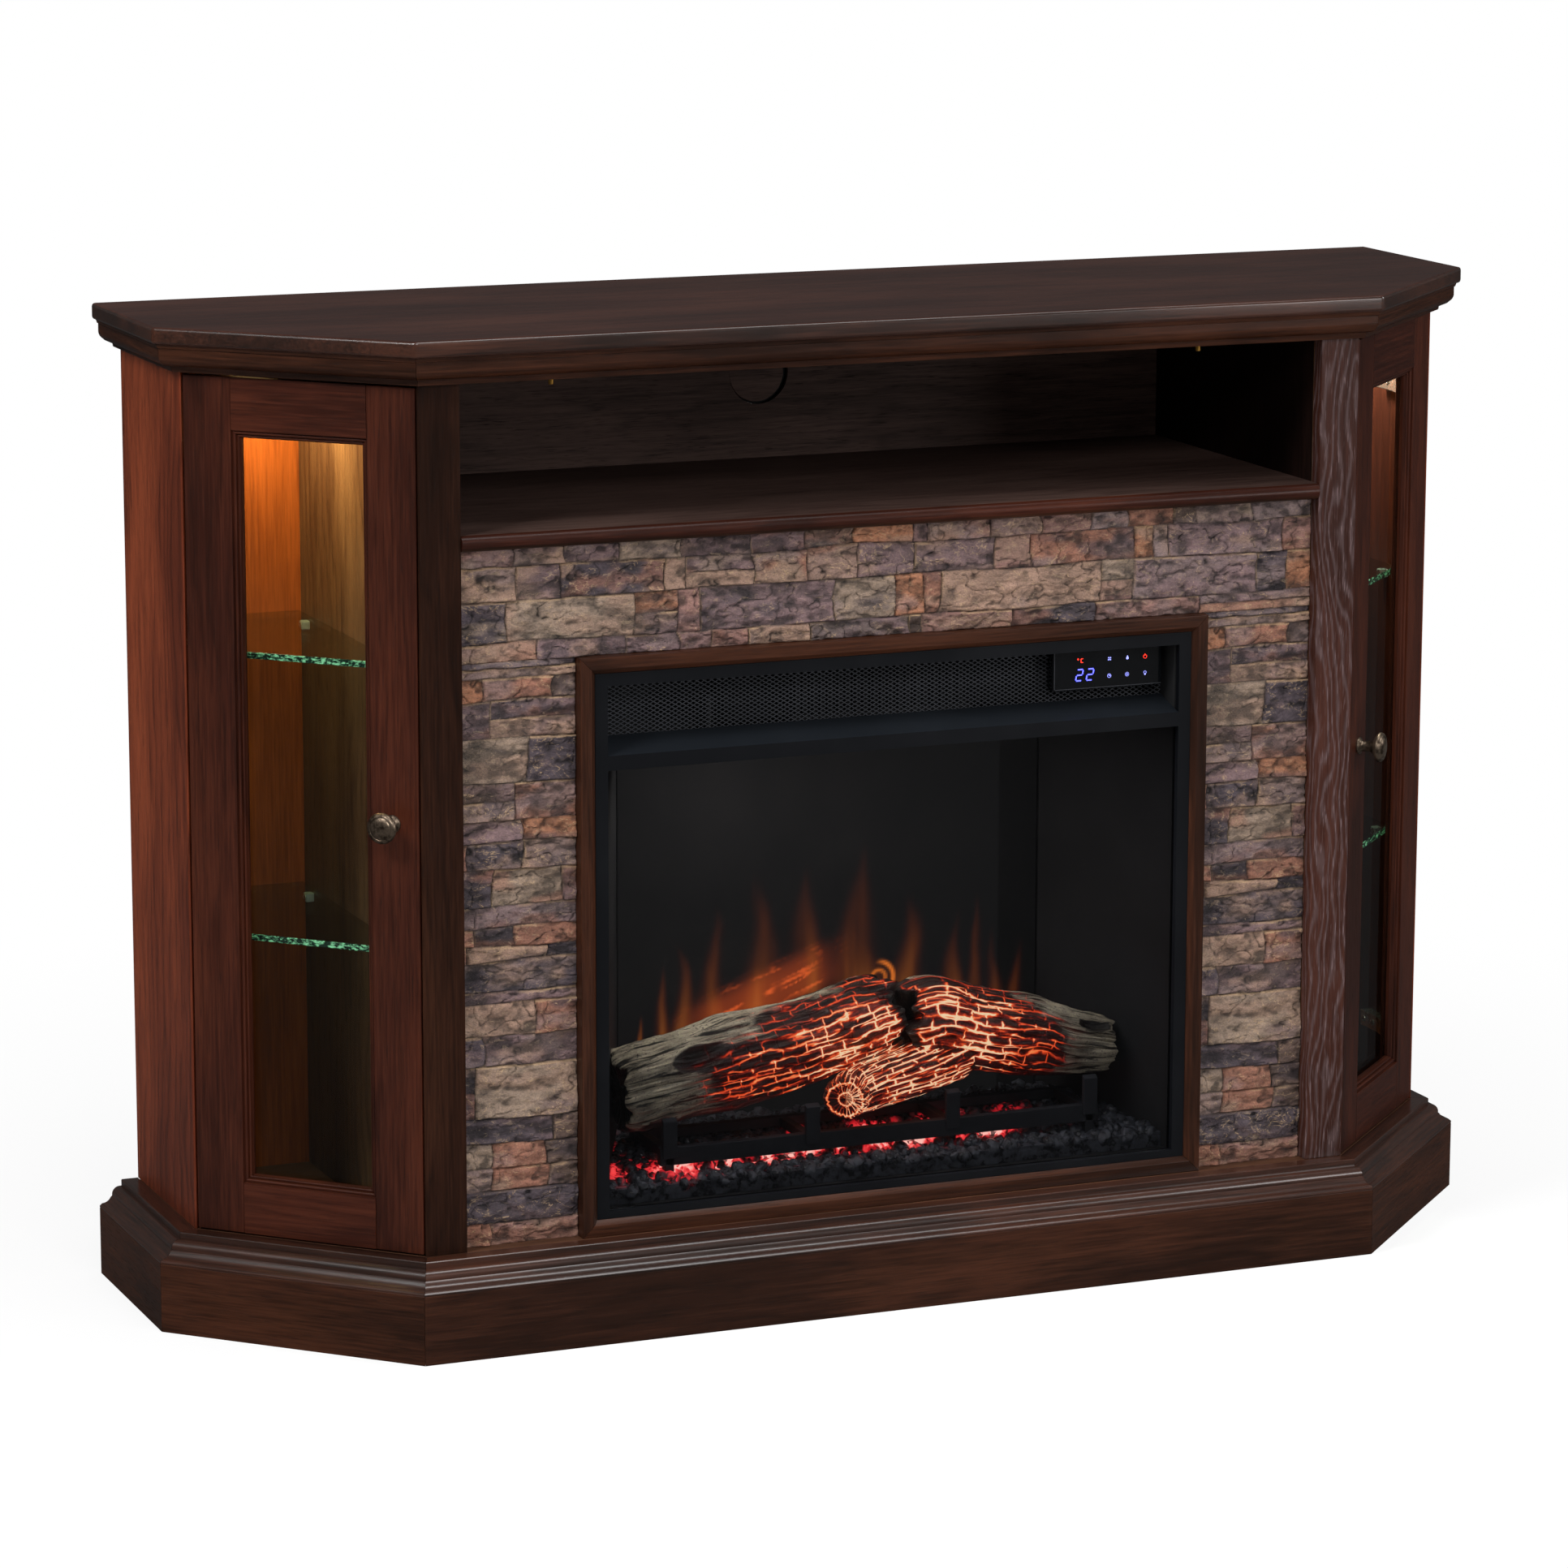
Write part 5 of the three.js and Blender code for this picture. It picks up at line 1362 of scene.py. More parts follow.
    def stone(self, here: Array, gaps: tuple[Array, ...], tint: Tint,
              chance: np.random.Generator) -> tuple[Array, Array]:
        """The relief and colour of one split stone, with painted shade in its joints, clefts and hollows and
        a painted highlight along its top and left edges.

        Args:
            here: Its places on the panel.
            gaps: Their distances from its left, right, top and foot.
            tint: Its main colour.
            chance: Where its own character comes from.

        Returns:
            Its height and its colour at each place.
        """
        lift, lean, skew = chance.uniform(1.0, 3.4) * MM, chance.uniform(-1, 1), chance.uniform(-1, 1)
        seed = int(chance.integers(1, 9999))
        from_left, from_right, from_top, from_foot = gaps
        nearest = np.minimum(np.minimum(from_left, from_right), np.minimum(from_top, from_foot))
        broad = Grit(seed).at(here, (34.0, 1.0, 80.0), 4)
        terrace = broad * 2.6 + 0.35 * Grit(seed + 6).at(here, 160.0, 2)
        terrace = (np.floor(terrace) + step(terrace - np.floor(terrace), 0.0, 0.45)) / 2.6
        wrinkle = Grit(seed + 1).at(here, (95.0, 1.0, 170.0), 3)
        cleft = np.abs(Grit(seed + 7).at(here, (42.0, 1.0, 70.0), 3))
        place = (here - here.mean(axis=0)) / np.maximum(np.ptp(here, axis=0), MM)
        rough = lift + (
            terrace * 2.2 + wrinkle * 1.5 + lean * place[:, 0] * 1.5 - skew * place[:, 2] * 1.8) * MM
        rough = rough - 1.4 * MM * (1 - step(cleft, 0.0, 0.10))
        height = np.clip(rough, 0.4 * MM, 6.4 * MM) * (0.10 + 0.90 * step(nearest, 0.0, 1.7 * MM) ** 0.6)
        mottle = Grit(seed + 2).at(here, (60.0, 1.0, 110.0), 4)[:, None]
        stain = Grit(seed + 3).at(here, (20.0, 1.0, 42.0), 4)[:, None]
        blush = Grit(seed + 5).at(here, (26.0, 1.0, 55.0), 3)[:, None]
        others = [other.value for other in (Tint.TAN, Tint.PLUM, Tint.DUSK, Tint.SAGE, Tint.RUST, Tint.GREY)]
        second, third = (np.array(others[chance.integers(len(others))]) for _ in range(2))
        base = np.array(tint.value) * (1.0 + 0.30 * mottle)
        base = base + (second - base) * step(stain, 0.0, 0.7) * 0.7
        base = base + (third - base) * step(blush, 0.15, 0.8) * 0.6
        # painted shade in the low wrinkles and in the clefts
        base = base * (1.0 - 0.45 * step(-wrinkle, 0.1, 0.8) - 0.4 * (1 - step(cleft, 0.0, 0.09)))[:, None]
        # a painted highlight in this pale colour along the top and left edges, where the light falls
        seam = step(Grit(seed + 4).at(here, (30.0, 1.0, 60.0), 3), -0.35, 0.35)
        rim = (1 - step(np.abs(from_top - 0.9 * MM), 0.2 * MM, 1.2 * MM)) * chance.choice((0.15, 0.8, 1.0))
        side = (1 - step(np.abs(from_left - 0.8 * MM), 0.2 * MM, 1.0 * MM)) * chance.choice((0.0, 0.35, 0.7))
        base = base + (np.array(self.lime) - base) * (np.maximum(rim, side) * seam * 0.75)[:, None]
        # painted shade in the joints under and beside the stone and on its low places
        joint = 0.34 + 0.66 * step(
            np.minimum(from_foot, np.minimum(from_left, from_right) * 1.3), 0, 1.1 * MM)
        shade = joint * (0.58 + 0.42 * step(height, 0.3 * MM, 2.2 * MM))
        return height, np.clip(base * shade[:, None], 0.002, 1)

    def stone_finish(self) -> Paint:
        """Split stone, coloured by its own attribute, which holds painted shade and painted highlight, with
        grain, veins and dust over it.
        """
        g = Graph("split_stone")
        here = g.place()
        fine = g.noise(g.stretch(here, (1.0, 1.0, 1.5)), 520.0, 5.0, 0.7)
        vein = g.noise(g.stretch(here, (1.0, 1.0, 1.9)), 115.0, 5.0, 0.72, 0.8)
        thread = g.noise(g.stretch(here, (1.0, 1.0, 1.4)), 34.0, 4.0, 0.65, 0.8)
        line = 1.0 - ((thread - 0.5) * (thread - 0.5)).rise(0.0, 0.00012)
        tint = g.attribute("tint", "Color")
        body = g.blend(fine.rise(0.2, 0.8), g.blend(1.0, tint, (0.58, 0.56, 0.58), "MULTIPLY"),
                       g.blend(1.0, tint, (1.3, 1.27, 1.24), "MULTIPLY"))
        body = g.blend(vein.rise(0.56, 0.66) * 0.32, body, srgb(168, 144, 116))
        body = g.blend((1.0 - vein.rise(0.32, 0.44)) * 0.4, body, srgb(50, 43, 50))
        body = g.blend(
            line * g.attribute("relief").rise(0.2, 0.5) * vein.rise(0.40, 0.52) * 0.6, body, self.lime)
        return g.finish(base_color=body, roughness=0.62 + (fine - 0.5) * 0.4, specular_ior_level=0.4,
                        normal=g.bump(fine * 0.5 + vein * 0.5, 0.0042, 1.0))

    def trim(self) -> None:
        """Four mitred lengths of trim, chamfered on the inside."""
        start, end = low("trim_left").x, high("trim_right").x
        bottom, top = low("trim_bottom").z, high("trim_top").z
        front, back, face = low("trim_top").y, high("trim_top").y, high("trim_left").x - low("trim_left").x
        chamfer, ease = 4 * MM, 0.8 * MM
        profile = [(0, back), (0, front + ease), (ease * 0.3, front + ease * 0.3), (ease, front),
                   (face - chamfer - ease, front), (face - chamfer, front + 0.3 * MM),
                   (face - 0.4 * MM, front + chamfer), (face, front + chamfer + 0.6 * MM), (face, back)]
        sides = {
            "top": ((start, top), (end, top), (0, -1)), "bottom": ((start, bottom), (end, bottom), (0, 1)),
            "left": ((start, bottom), (start, top), (1, 0)), "right": ((end, bottom), (end, top), (-1, 0))}
        for word, (first, last, inward) in sides.items():
            piece = mitred_side(f"trim_{word}_length", profile, first, last, inward, 0.15 * MM)
            grain = Grain.ACROSS if inward[0] == 0 else Grain.UPRIGHT
            hand_in(paint(piece, Look.FRONT.build(grain, 2.1)), "case", "mahogany", f"trim_{word}")


# -------------------- the firebox


@dataclass
class Insert:
    """The electric firebox: front, window, grille, control panel and the parts of its air duct."""

    cell: Pair = (7.0 * MM, 4.0 * MM)
    strand: float = 1.0 * MM

    def build(self) -> None:
        """Makes the firebox's front and dresses what lies behind it, the duct's parts near black as painted
        shade.
        """
        front = soften(copy_of("insert_front", "bezel"), 0.9 * MM, 3)
        paint(front, Look.STEEL.build(), Look.LEDGE.build(), by=lambda face: 0.6 < face.normal.z < 0.999)
        hand_in(front, "case", "black_steel", "insert_front")
        hand_in(paint(soften(copy_of("window_glass", "window"), 0.4 * MM, 1), Look.WINDOW.build()), "case",
                "window_glass", "window_glass")
        self.grille()
        ControlPanel().build()
        dress("firebox_case", Look.CASING.build())
        # the blower, heater and motors are painted near black as painted shade inside the duct
        for node in ("blower_wheel", "heater_element", "blower_motor", "rotor_motor"):
            dress(node, Look.SOOT.build())
        dress("flame_rotor", Look.ALUMINIUM.build())

    def grille(self) -> None:
        """Expanded metal: one diamond of strands, repeated and trimmed to the opening."""
        start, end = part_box("air_grille")
        wide, tall = self.cell
        outer = [(wide / 2, 0.0), (0.0, tall / 2), (-wide / 2, 0.0), (0.0, -tall / 2)]
        face = ngon("grille", [(x, end.y - 0.4 * MM, z) for x, z in outer])
        with editing(face, True):
            bpy.ops.mesh.inset(thickness=self.strand * 0.42, use_even_offset=True)
            bpy.ops.mesh.delete(type="FACE")
            bpy.ops.mesh.select_all(action="SELECT")
            bpy.ops.mesh.extrude_region_move(TRANSFORM_OT_translate={"value": (0, -0.9 * MM, 0.5 * MM)})
        outward(face)
        columns, rows = math.ceil((end.x - start.x) / wide) + 1, math.ceil((end.z - start.z) / tall) + 1
        offset = {"use_relative_offset": False, "use_constant_offset": True}
        modify(face, "ARRAY", count=columns, constant_offset_displace=(wide, 0, 0), **offset)
        modify(face, "ARRAY", count=2, constant_offset_displace=(wide / 2, 0, tall / 2), **offset)
        modify(face, "ARRAY", count=rows, constant_offset_displace=(0, 0, tall), **offset)
        move(face, Matrix.Translation((start.x - wide / 4, 0, start.z)))
        for corner, off in ((start, (-1, 0, 0)), (end, (1, 0, 0)), (start, (0, 0, -1)), (end, (0, 0, 1))):
            saw(face, corner, Vector(off))
        hand_in(paint(face, Look.MESH.build()), "case", "ironwork", "air_grille", smooth=20)


@dataclass
class ControlPanel:
    """The touch panel: glossy black with a lit readout and icons, whose places are in millimetres."""

    rise: float = 0.35
    line: float = 0.28

    def __post_init__(self) -> None:
        self.face = low("control_panel").y

    def build(self) -> None:
        """Makes the panel, its border and its lit marks."""
        face = self.face
        hand_in(paint(soften(copy_of("control_panel", "touch_panel"), 1.2 * MM, 3), Look.GLOSS.build()),
                "case", "black_glass", "control_panel")
        start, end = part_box("control_panel")
        inset, wide = 1 * MM, 0.8 * MM
        corner = (start.x + inset, face - 0.2 * MM, start.z + inset)
        border = [board("border", corner, far, 0.1 * MM, 1) for far in (
            (corner[0] + wide, face + 0.4 * MM, end.z - inset),
            (end.x - inset, face + 0.4 * MM, corner[2] + wide))]
        hand_in(paint(join("panel_border", border), Look.MESH.build()), "case", "aluminium")
        marks = []
        for pieces, finish in (([self.digit_two(x, 565.8) for x in (189.9, 200.6)], Look.READOUT),
                               (self.red_marks(), Look.RED_MARK), (self.icons(), Look.ICON)):
            marks += [paint(piece, finish.build()) for piece in pieces]
        hand_in(join("panel_marks", marks), "case", "lamp_lens")

    def flat(self, outline: Profile) -> Piece:
        """A flat mark that stands just proud of the panel."""
        mark = ngon("mark", [(x * MM, self.face + 0.1 * MM, z * MM) for x, z in outline])
        return extrude(mark, (0, -self.rise * MM, 0))

    def bar(self, x: float, z: float, half_wide: float, half_tall: float, lean: float = 0.0) -> Piece:
        """A bar about a point, which may lean to the right at its top."""
        return self.flat([(x - half_wide - lean, z - half_tall), (x + half_wide - lean, z - half_tall),
                          (x + half_wide + lean, z + half_tall), (x - half_wide + lean, z + half_tall)])

    def ring(self, x: float, z: float, radius: float) -> Piece:
        """A thin ring."""
        inner = radius - self.line
        profile = [(inner, -0.1), (radius, -0.1), (radius, self.rise), (inner, self.rise), (inner, -0.1)]
        return turned("ring", profile, 24, (0, -1, 0), (x * MM, self.face, z * MM))

    def digit_two(self, x: float, z: float) -> Piece:
        """A slanted figure 2 in five segments."""
        wide, tall, line, slant = 3.0, 5.2, 0.55, 0.16
        bars = [(0, tall, wide - line, line), (0, 0, wide - line, line), (0, -tall, wide - line, line),
                (wide, tall / 2, line, tall / 2 - line * 1.2),
                (-wide, -tall / 2, line, tall / 2 - line * 1.2)]
        return join("digit", [
            self.bar(x + dx + slant * dz, z + dz, half_wide, half_tall, slant * half_tall)
            for dx, dz, half_wide, half_tall in bars])

    def red_marks(self) -> list[Piece]:
        """The degree sign with its letter, and the switch."""
        x, z, wide, tall, line = 192.4, 579.2, 1.1, 1.7, self.line
        return [
            self.ring(188.4, 580.6, 0.9), self.bar(x - wide, z, line, tall),
            self.bar(x, z + tall, wide, line), self.bar(x, z - tall, wide, line),
            self.ring(256.6, 579.0, 1.9), self.bar(256.6, 580.6, 0.3, 1.0)]

    def icons(self) -> list[Piece]:
        """Small generic icons: fan, flame, clock, sun and lamp."""
        petal = ((0.3, 0.0), (1.2, -0.75), (2.1, -0.2), (1.5, 0.6))
        flame = ((0.0, -1.9), (1.1, -1.4), (1.3, -0.4), (0.7, 0.8), (0.1, 2.1), (-0.5, 0.9), (-1.2, -0.3),
                 (-1.1, -1.4))
        marks = []
        for turn in (math.radians(45 + 90 * i) for i in range(4)):
            marks.append(self.flat([(220.3 + a * math.cos(turn) - b * math.sin(turn),
                                     579.2 + a * math.sin(turn) + b * math.cos(turn)) for a, b in petal]))
        marks.append(self.flat([(238.5 + a, 579.2 + b) for a, b in flame]))
        marks += [
            self.ring(220.2, 563.3, 1.9), self.bar(220.2, 563.9, 0.2, 0.8), self.bar(220.8, 563.3, 0.7, 0.2),
            self.ring(238.4, 563.5, 1.0)]
        marks += [self.bar(238.4 + 1.8 * math.cos(turn), 563.5 + 1.8 * math.sin(turn), 0.28, 0.28)
                  for turn in (math.radians(45 * i) for i in range(8))]
        return [*marks, self.ring(256.7, 564.1, 1.4), self.bar(256.7, 562.1, 0.7, 0.5)]


# -------------------- the fire


@dataclass(frozen=True)
class Wisp:
    """A tongue of flame on the screen: its foot and tip in millimetres, its width and brightness."""

    foot: Pair
    tip: Pair
    width: float
    heat: float = 1.0

    def glow(self, x: Array, z: Array) -> Array:
        """How bright this tongue is at each place."""
        rise = (z - self.foot[1]) / (self.tip[1] - self.foot[1])
        along = np.clip(rise, 0, 1)
        bend = 0.22 * self.width * np.sin(along * 5.0 + self.foot[0])
        middle = self.foot[0] + (self.tip[0] - self.foot[0]) * along + bend
        reach = 0.66 * self.width * (1.08 - along) ** 0.9
        return self.heat * np.exp(-((x - middle) / reach) ** 2) * (1 - along) ** 1.5 * step(rise, -0.2, 0.15)


@dataclass(frozen=True)
class Knot:
    """A hollow knot: millimetres along the log, degrees up from its front, and its half sizes."""

    along: float
    around: float
    half_long: float
    half_high: float
    depth: float = 4.5


@dataclass(frozen=True)
class Hot:
    """A glowing patch: its middle and reach along the log in millimetres and round it in degrees."""

    along: float
    reach: float
    around: float
    spread: float
    heat: float


@dataclass(frozen=True)
class Stick:
    """A charred log along a line of stations.

    Attributes:
        stations: The log's middle and radius, as (x, y, z, radius) in millimetres.
        hollows: How deep its two ends are hollowed, in millimetres.
        ragged: How rough its two ends are broken, in millimetres.
        burnt: How far from each end it is too charred to glow, in millimetres.
        rings: Radii of glowing rings on its first end, in millimetres.
        columns: How many corners go round it.
        bark: How rough its bark is, as a multiple of the usual.
    """

    name: str
    seed: int
    stations: tuple[tuple[float, float, float, float], ...]
    hots: tuple[Hot, ...]
    knots: tuple[Knot, ...] = ()
    hollows: Pair = (4.0, 4.0)
    ragged: Pair = (3.0, 3.0)
    burnt: Pair = (8.0, 8.0)
    rings: tuple[float, ...] = ()
    columns: int = 200
    bark: float = 1.0

    def line(self, pitch: float) -> tuple[Array, Array]:
        """The smooth line through the stations, in metres, and the distance along it."""
        places = np.array(self.stations) * MM
        chord = np.r_[0, np.cumsum(np.linalg.norm(np.diff(places[:, :3], axis=0), axis=1))]
        along = np.linspace(0, chord[-1], round(chord[-1] / pitch) + 1)
        line = np.column_stack([np.interp(along, chord, column) for column in places.T])
        spread = 17
        weight = np.hanning(2 * spread + 3)[1:-1]
        padded = np.pad(line, ((spread, spread), (0, 0)), mode="reflect", reflect_type="odd")
        smooth = [np.convolve(column, weight / weight.sum(), "valid") for column in padded.T]
        return np.column_stack(smooth), along


@dataclass
class Fire:
    """What burns: flame screen, ember bed, coals, grate and logs."""

    pitch: float = 1.1 * MM
    cap_rows: int = 20
    coal_pitch: float = 9.5 * MM
    mean_radius: float = 38 * MM
    wisps: tuple[Wisp, ...] = (
        Wisp((-192, 196), (-193, 248), 4.5, 2.2), Wisp((-168, 200), (-170, 292), 10, 1.9),
        Wisp((-146, 205), (-151, 318), 13, 0.85), Wisp((-116, 215), (-118, 345), 17, 0.75),
        Wisp((-70, 230), (-72, 380), 21, 0.62), Wisp((-24, 240), (-22, 380), 22, 0.62),
        Wisp((28, 225), (30, 400), 26, 0.75), Wisp((80, 235), (82, 345), 20, 0.62),
        Wisp((128, 225), (130, 325), 15, 0.62), Wisp((150, 225), (151, 342), 9, 0.5),
        Wisp((170, 215), (168, 305), 10, 0.55), Wisp((192, 210), (193, 290), 10, 0.5),
        Wisp((30, 190), (34, 300), 40, 0.55), Wisp((-90, 190), (-60, 285), 90, 0.34))
    sticks: tuple[Stick, ...] = (
        Stick("log_left", 5, (
            (-249, -79, 200.5, 37.0), (-225, -79, 204.5, 38.5), (-185, -79, 210.5, 37.5),
            (-140, -79, 218.5, 40.5), (-95, -78, 225.5, 40.0), (-55, -76, 231.5, 38.5),
            (0, -72, 245.0, 39.0), (24, -70, 249.5, 35.0)), (
            Hot(236, 76, -14, 70, 1.12), Hot(140, 60, -6, 48, 0.62), Hot(190, 60, 50, 36, 0.45),
            Hot(262, 44, 66, 40, 0.45)), (
            Knot(76, 33, 21, 8.5, 6.0), Knot(28, -52, 13, 6, 3.0)), (7.0, 6.0), (6.0, 13.0), (0.0, 7.0)),
        Stick("log_right", 8, (
            (38, -75, 239.0, 38.0), (62, -75, 243.0, 41.0), (100, -76, 230.0, 38.5), (158, -78, 218.5, 37.5),
            (196, -79, 207.5, 32.0), (226, -80, 203.0, 28.5), (244, -80, 200.0, 26.0)), (
            Hot(48, 70, 0, 78, 1.12), Hot(112, 44, -6, 50, 0.6)), (
            Knot(134, -22, 17, 11, 5.5), Knot(190, 48, 14, 7, 6.0)), (6.0, 10.0), (13.0, 7.0), (6.0, 0.0),
              columns=170))
    stub: Stick = Stick(
        "stub", 12, ((-39.5, -125, 184.5, 20.5), (-35, -115, 185.0, 21.0), (-24, -106, 186.5, 22.0),
        (0, -101, 190.5, 23.5), (35, -97, 197.0, 25.5), (62, -90, 203.0, 27.0), (92, -82, 208.0, 27.0)),
        (Hot(75, 130, 20, 140, 1.1),), hollows=(0.8, 3.0), ragged=(0.8, 3.0), burnt=(0.0, 4.0),
        rings=(7.2, 18.0), columns=130, bark=0.6)
    embers: tuple[tuple[float, float, float, float], ...] = (
        (-267, -104, 3, 0.6), (-258, -98, 5, 0.5), (-259, -112, 4, 0.5), (-219, -108, 4, 0.6),
        (-211, -101, 5, 0.8), (-199, -102, 8, 1.25), (-189, -98, 6, 1.0), (-209, -118, 4, 0.7),
        (-190, -117, 4, 0.7), (-168, -107, 3, 0.55), (-147, -99, 3, 1.1), (-140, -98, 5, 0.8),
        (-129, -97, 4, 0.5), (-109, -98, 4, 1.0), (-107, -106, 3, 0.8), (-85, -96, 4, 1.3),
        (-66, -101, 5, 0.9),
        (-58, -95, 4, 0.95), (-39, -96, 4, 1.3), (-12, -96, 3, 1.0), (-4, -99, 5, 1.0), (6, -102, 4, 0.8),
        (20, -95, 4, 1.0), (30, -97, 5, 1.1), (44, -96, 5, 1.25), (54, -94, 5, 1.0), (33, -113, 3, 0.6),
        (84, -100, 5, 0.6), (96, -97, 4, 0.6), (110, -97, 4, 0.95), (123, -98, 6, 1.0), (138, -97, 4, 0.6),
        (-60, -60, 9, 0.5), (10, -62, 16, 0.6), (80, -60, 16, 0.5), (150, -60, 12, 0.3))

    def build(self) -> None:
        """Makes the whole fire."""
        self.screen()
        self.grate()
        self.bed()
        self.logs()
        for name, place, target, size, watts, colour in (
                ("bark_light", (-0.02, -0.128, 0.498), (0.0, -0.075, 0.2), (0.36, 0.02), 2.4,
                 (1.0, 0.95, 0.88)),
                ("coal_light", (0.0, -0.137, 0.30), (0.0, -0.10, 0.125), (0.46, 0.01), 0.16,
                 (0.8, 0.88, 1.0)),
                ("log_glow", (-0.01, -0.128, 0.232), (0.0, -0.07, 0.215), (0.10, 0.03), 0.05,
                 (1.0, 0.24, 0.05)),
                ("rail_glow", (-0.02, -0.10, 0.166), (-0.02, -0.10, 0.1), (0.2, 0.03), 0.04,
                 (1.0, 0.16, 0.05))):
            lamp = area_lamp(name, place, target, size, watts, colour)
            lamp.visible_camera = lamp.visible_glossy = False

    def screen(self) -> None:
        """The flame screen: dark glass with tongues of flame and a painted reflection of the logs' glowing
        back.
        """
        start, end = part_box("flame_screen")
        pitch = 2.0 * MM
        columns, rows = round((end.x - start.x) / pitch) + 1, round((end.z - start.z) / pitch) + 1
        x, z = np.meshgrid(np.linspace(start.x, end.x, columns), np.linspace(start.z, end.z, rows))
        piece = sheet("flame_pane", np.stack([x, np.full_like(x, start.y), z], axis=-1))
        dye(piece, "blaze", self.flames(x.ravel(), z.ravel()))
        with editing(piece, True):
            bpy.ops.mesh.extrude_region_move(TRANSFORM_OT_translate={"value": (0, end.y - start.y, 0)})
            bpy.ops.mesh.select_all(action="SELECT")
            bpy.ops.mesh.normals_make_consistent(inside=False)
        g = Graph("flame_pane")
        smoke = g.noise(g.place(), 22.0, 3.0)
        material = g.finish(
            base_color=g.blend(smoke, srgb(9, 9, 10), srgb(20, 19, 19)), roughness=0.35,
            emission_color=g.attribute("blaze", "Color"), emission_strength=1.0, specular_ior_level=0.2)
        hand_in(paint(piece, material), "case", "black_glass", "flame_screen", smooth=60)

    def flames(self, x: Array, z: Array) -> Array:
        """The light on the screen at each place: flames, and a painted reflection of the logs' glowing back
        above the left log.
        """
        places = np.column_stack([x, np.zeros_like(x), z])
        flicker = 3.5 * Grit(21).at(places, (40.0, 1.0, 18.0), 3)
        across, up = x / MM + flicker, z / MM + 1.5 * flicker
        heat = sum(wisp.glow(across, up) for wisp in self.wisps)
        heat = heat * (0.85 + 0.4 * Grit(22).at(places, (110.0, 1.0, 16.0), 3)).clip(0.15, 1.6)
        # a painted reflection of the left log's glowing back, in a slanting band above it
        lean = math.radians(21)
        along = (x / MM + 72) * math.cos(lean) + (z / MM - 253) * math.sin(lean)
        aside = (z / MM - 253) * math.cos(lean) - (x / MM + 72) * math.sin(lean)
        band = np.exp(-(aside / 20) ** 4 - ((along - 4) / 70) ** 4)
        lines = 1 - np.abs(
            Grit(23).at(np.column_stack([along * 0.02, aside * 0.14, 0 * aside]), 1.0, 3)) * 5.5
        log_reflection = band * (
            0.42 + 1.3 * step(lines, -0.3, 1.0) * step(Grit(24).at(places, 60.0, 2), -0.6, 0.3))
        from_ring = np.hypot(x / MM - 50, z / MM - 262)
        arc_glow = np.exp(-((from_ring - 15) / 1.7) ** 2) * step(x / MM, 46, 58)
        arc_glow = arc_glow + 0.7 * np.exp(-((from_ring - 7) / 1.5) ** 2)
        red = 0.62 * heat + 1.05 * log_reflection + 1.8 * arc_glow
        green = 0.20 * heat ** 1.3 + 0.15 * log_reflection + 0.42 * arc_glow
        blue = 0.035 * heat ** 2 + 0.025 * log_reflection + 0.04 * arc_glow
        dark = np.where(x / MM > 172, 0.006, 0.0125)
        return np.clip(np.stack([red, green, blue], axis=1) + dark[:, None], 0, 3)

    def grate(self) -> None:
        """The cast grate: a broad front rail with flat posts, cross bars, a back rail and legs."""
        start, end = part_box("fire_grate")
        bar, post, post_thick, rail_rise, lean = 9 * MM, 7 * MM, 5 * MM, 1.5 * MM, 3 * MM
        rail_top, front, back = start.z + 39 * MM, start.y + 2 * MM, end.y - bar
        places = [start.x + bar + (end.x - start.x - 2 * bar) * i / 3 for i in range(4)]
        solids = [((start.x, front, rail_top - 15 * MM), (end.x, front + bar, rail_top + rail_rise)),
                  ((start.x, back, rail_top - bar), (end.x, end.y, rail_top))]
        for x in places:
            solids.append(((x - bar / 2, front + bar, rail_top - bar), (x + bar / 2, back, rail_top)))
        for x in (places[0], places[3]):
            for y in (front, back):
                solids.append(((x - bar / 2, y, start.z), (x + bar / 2, y + bar, rail_top - 2 * MM)))
        pieces = [board("bar", low_end, high_end, 1.0 * MM, 2) for low_end, high_end in solids]
        foot, head = rail_top - 8 * MM, end.z + 10 * MM
        for x in places:
            side = ngon("post", [
                (x - post, start.y, foot), (x - post, start.y, head - lean),
                (x - post, start.y + post_thick, head), (x - post, start.y + post_thick, foot)])
            pieces.append(soften(extrude(side, (2 * post, 0, 0)), 0.7 * MM, 2))
        hand_in(paint(join("grate", pieces), Look.IRON.build()), "case", "ironwork", "fire_grate")

    def bed(self) -> None:
        """The moulded bed of coals: lumps heaped on a ramp, some of them glowing."""
        ramp = copy_of("ember_bed", "bed_base")
        lumps = [ramp, *self.lumps()]
        piece = join("coal_bed", lumps)
        points = np.array([vertex.co for vertex in piece.data.vertices])
        dye(piece, "glow", self.ember(points))
        hand_in(paint(piece, self.coal_finish()), "case", "coal", "ember_bed", smooth=30)

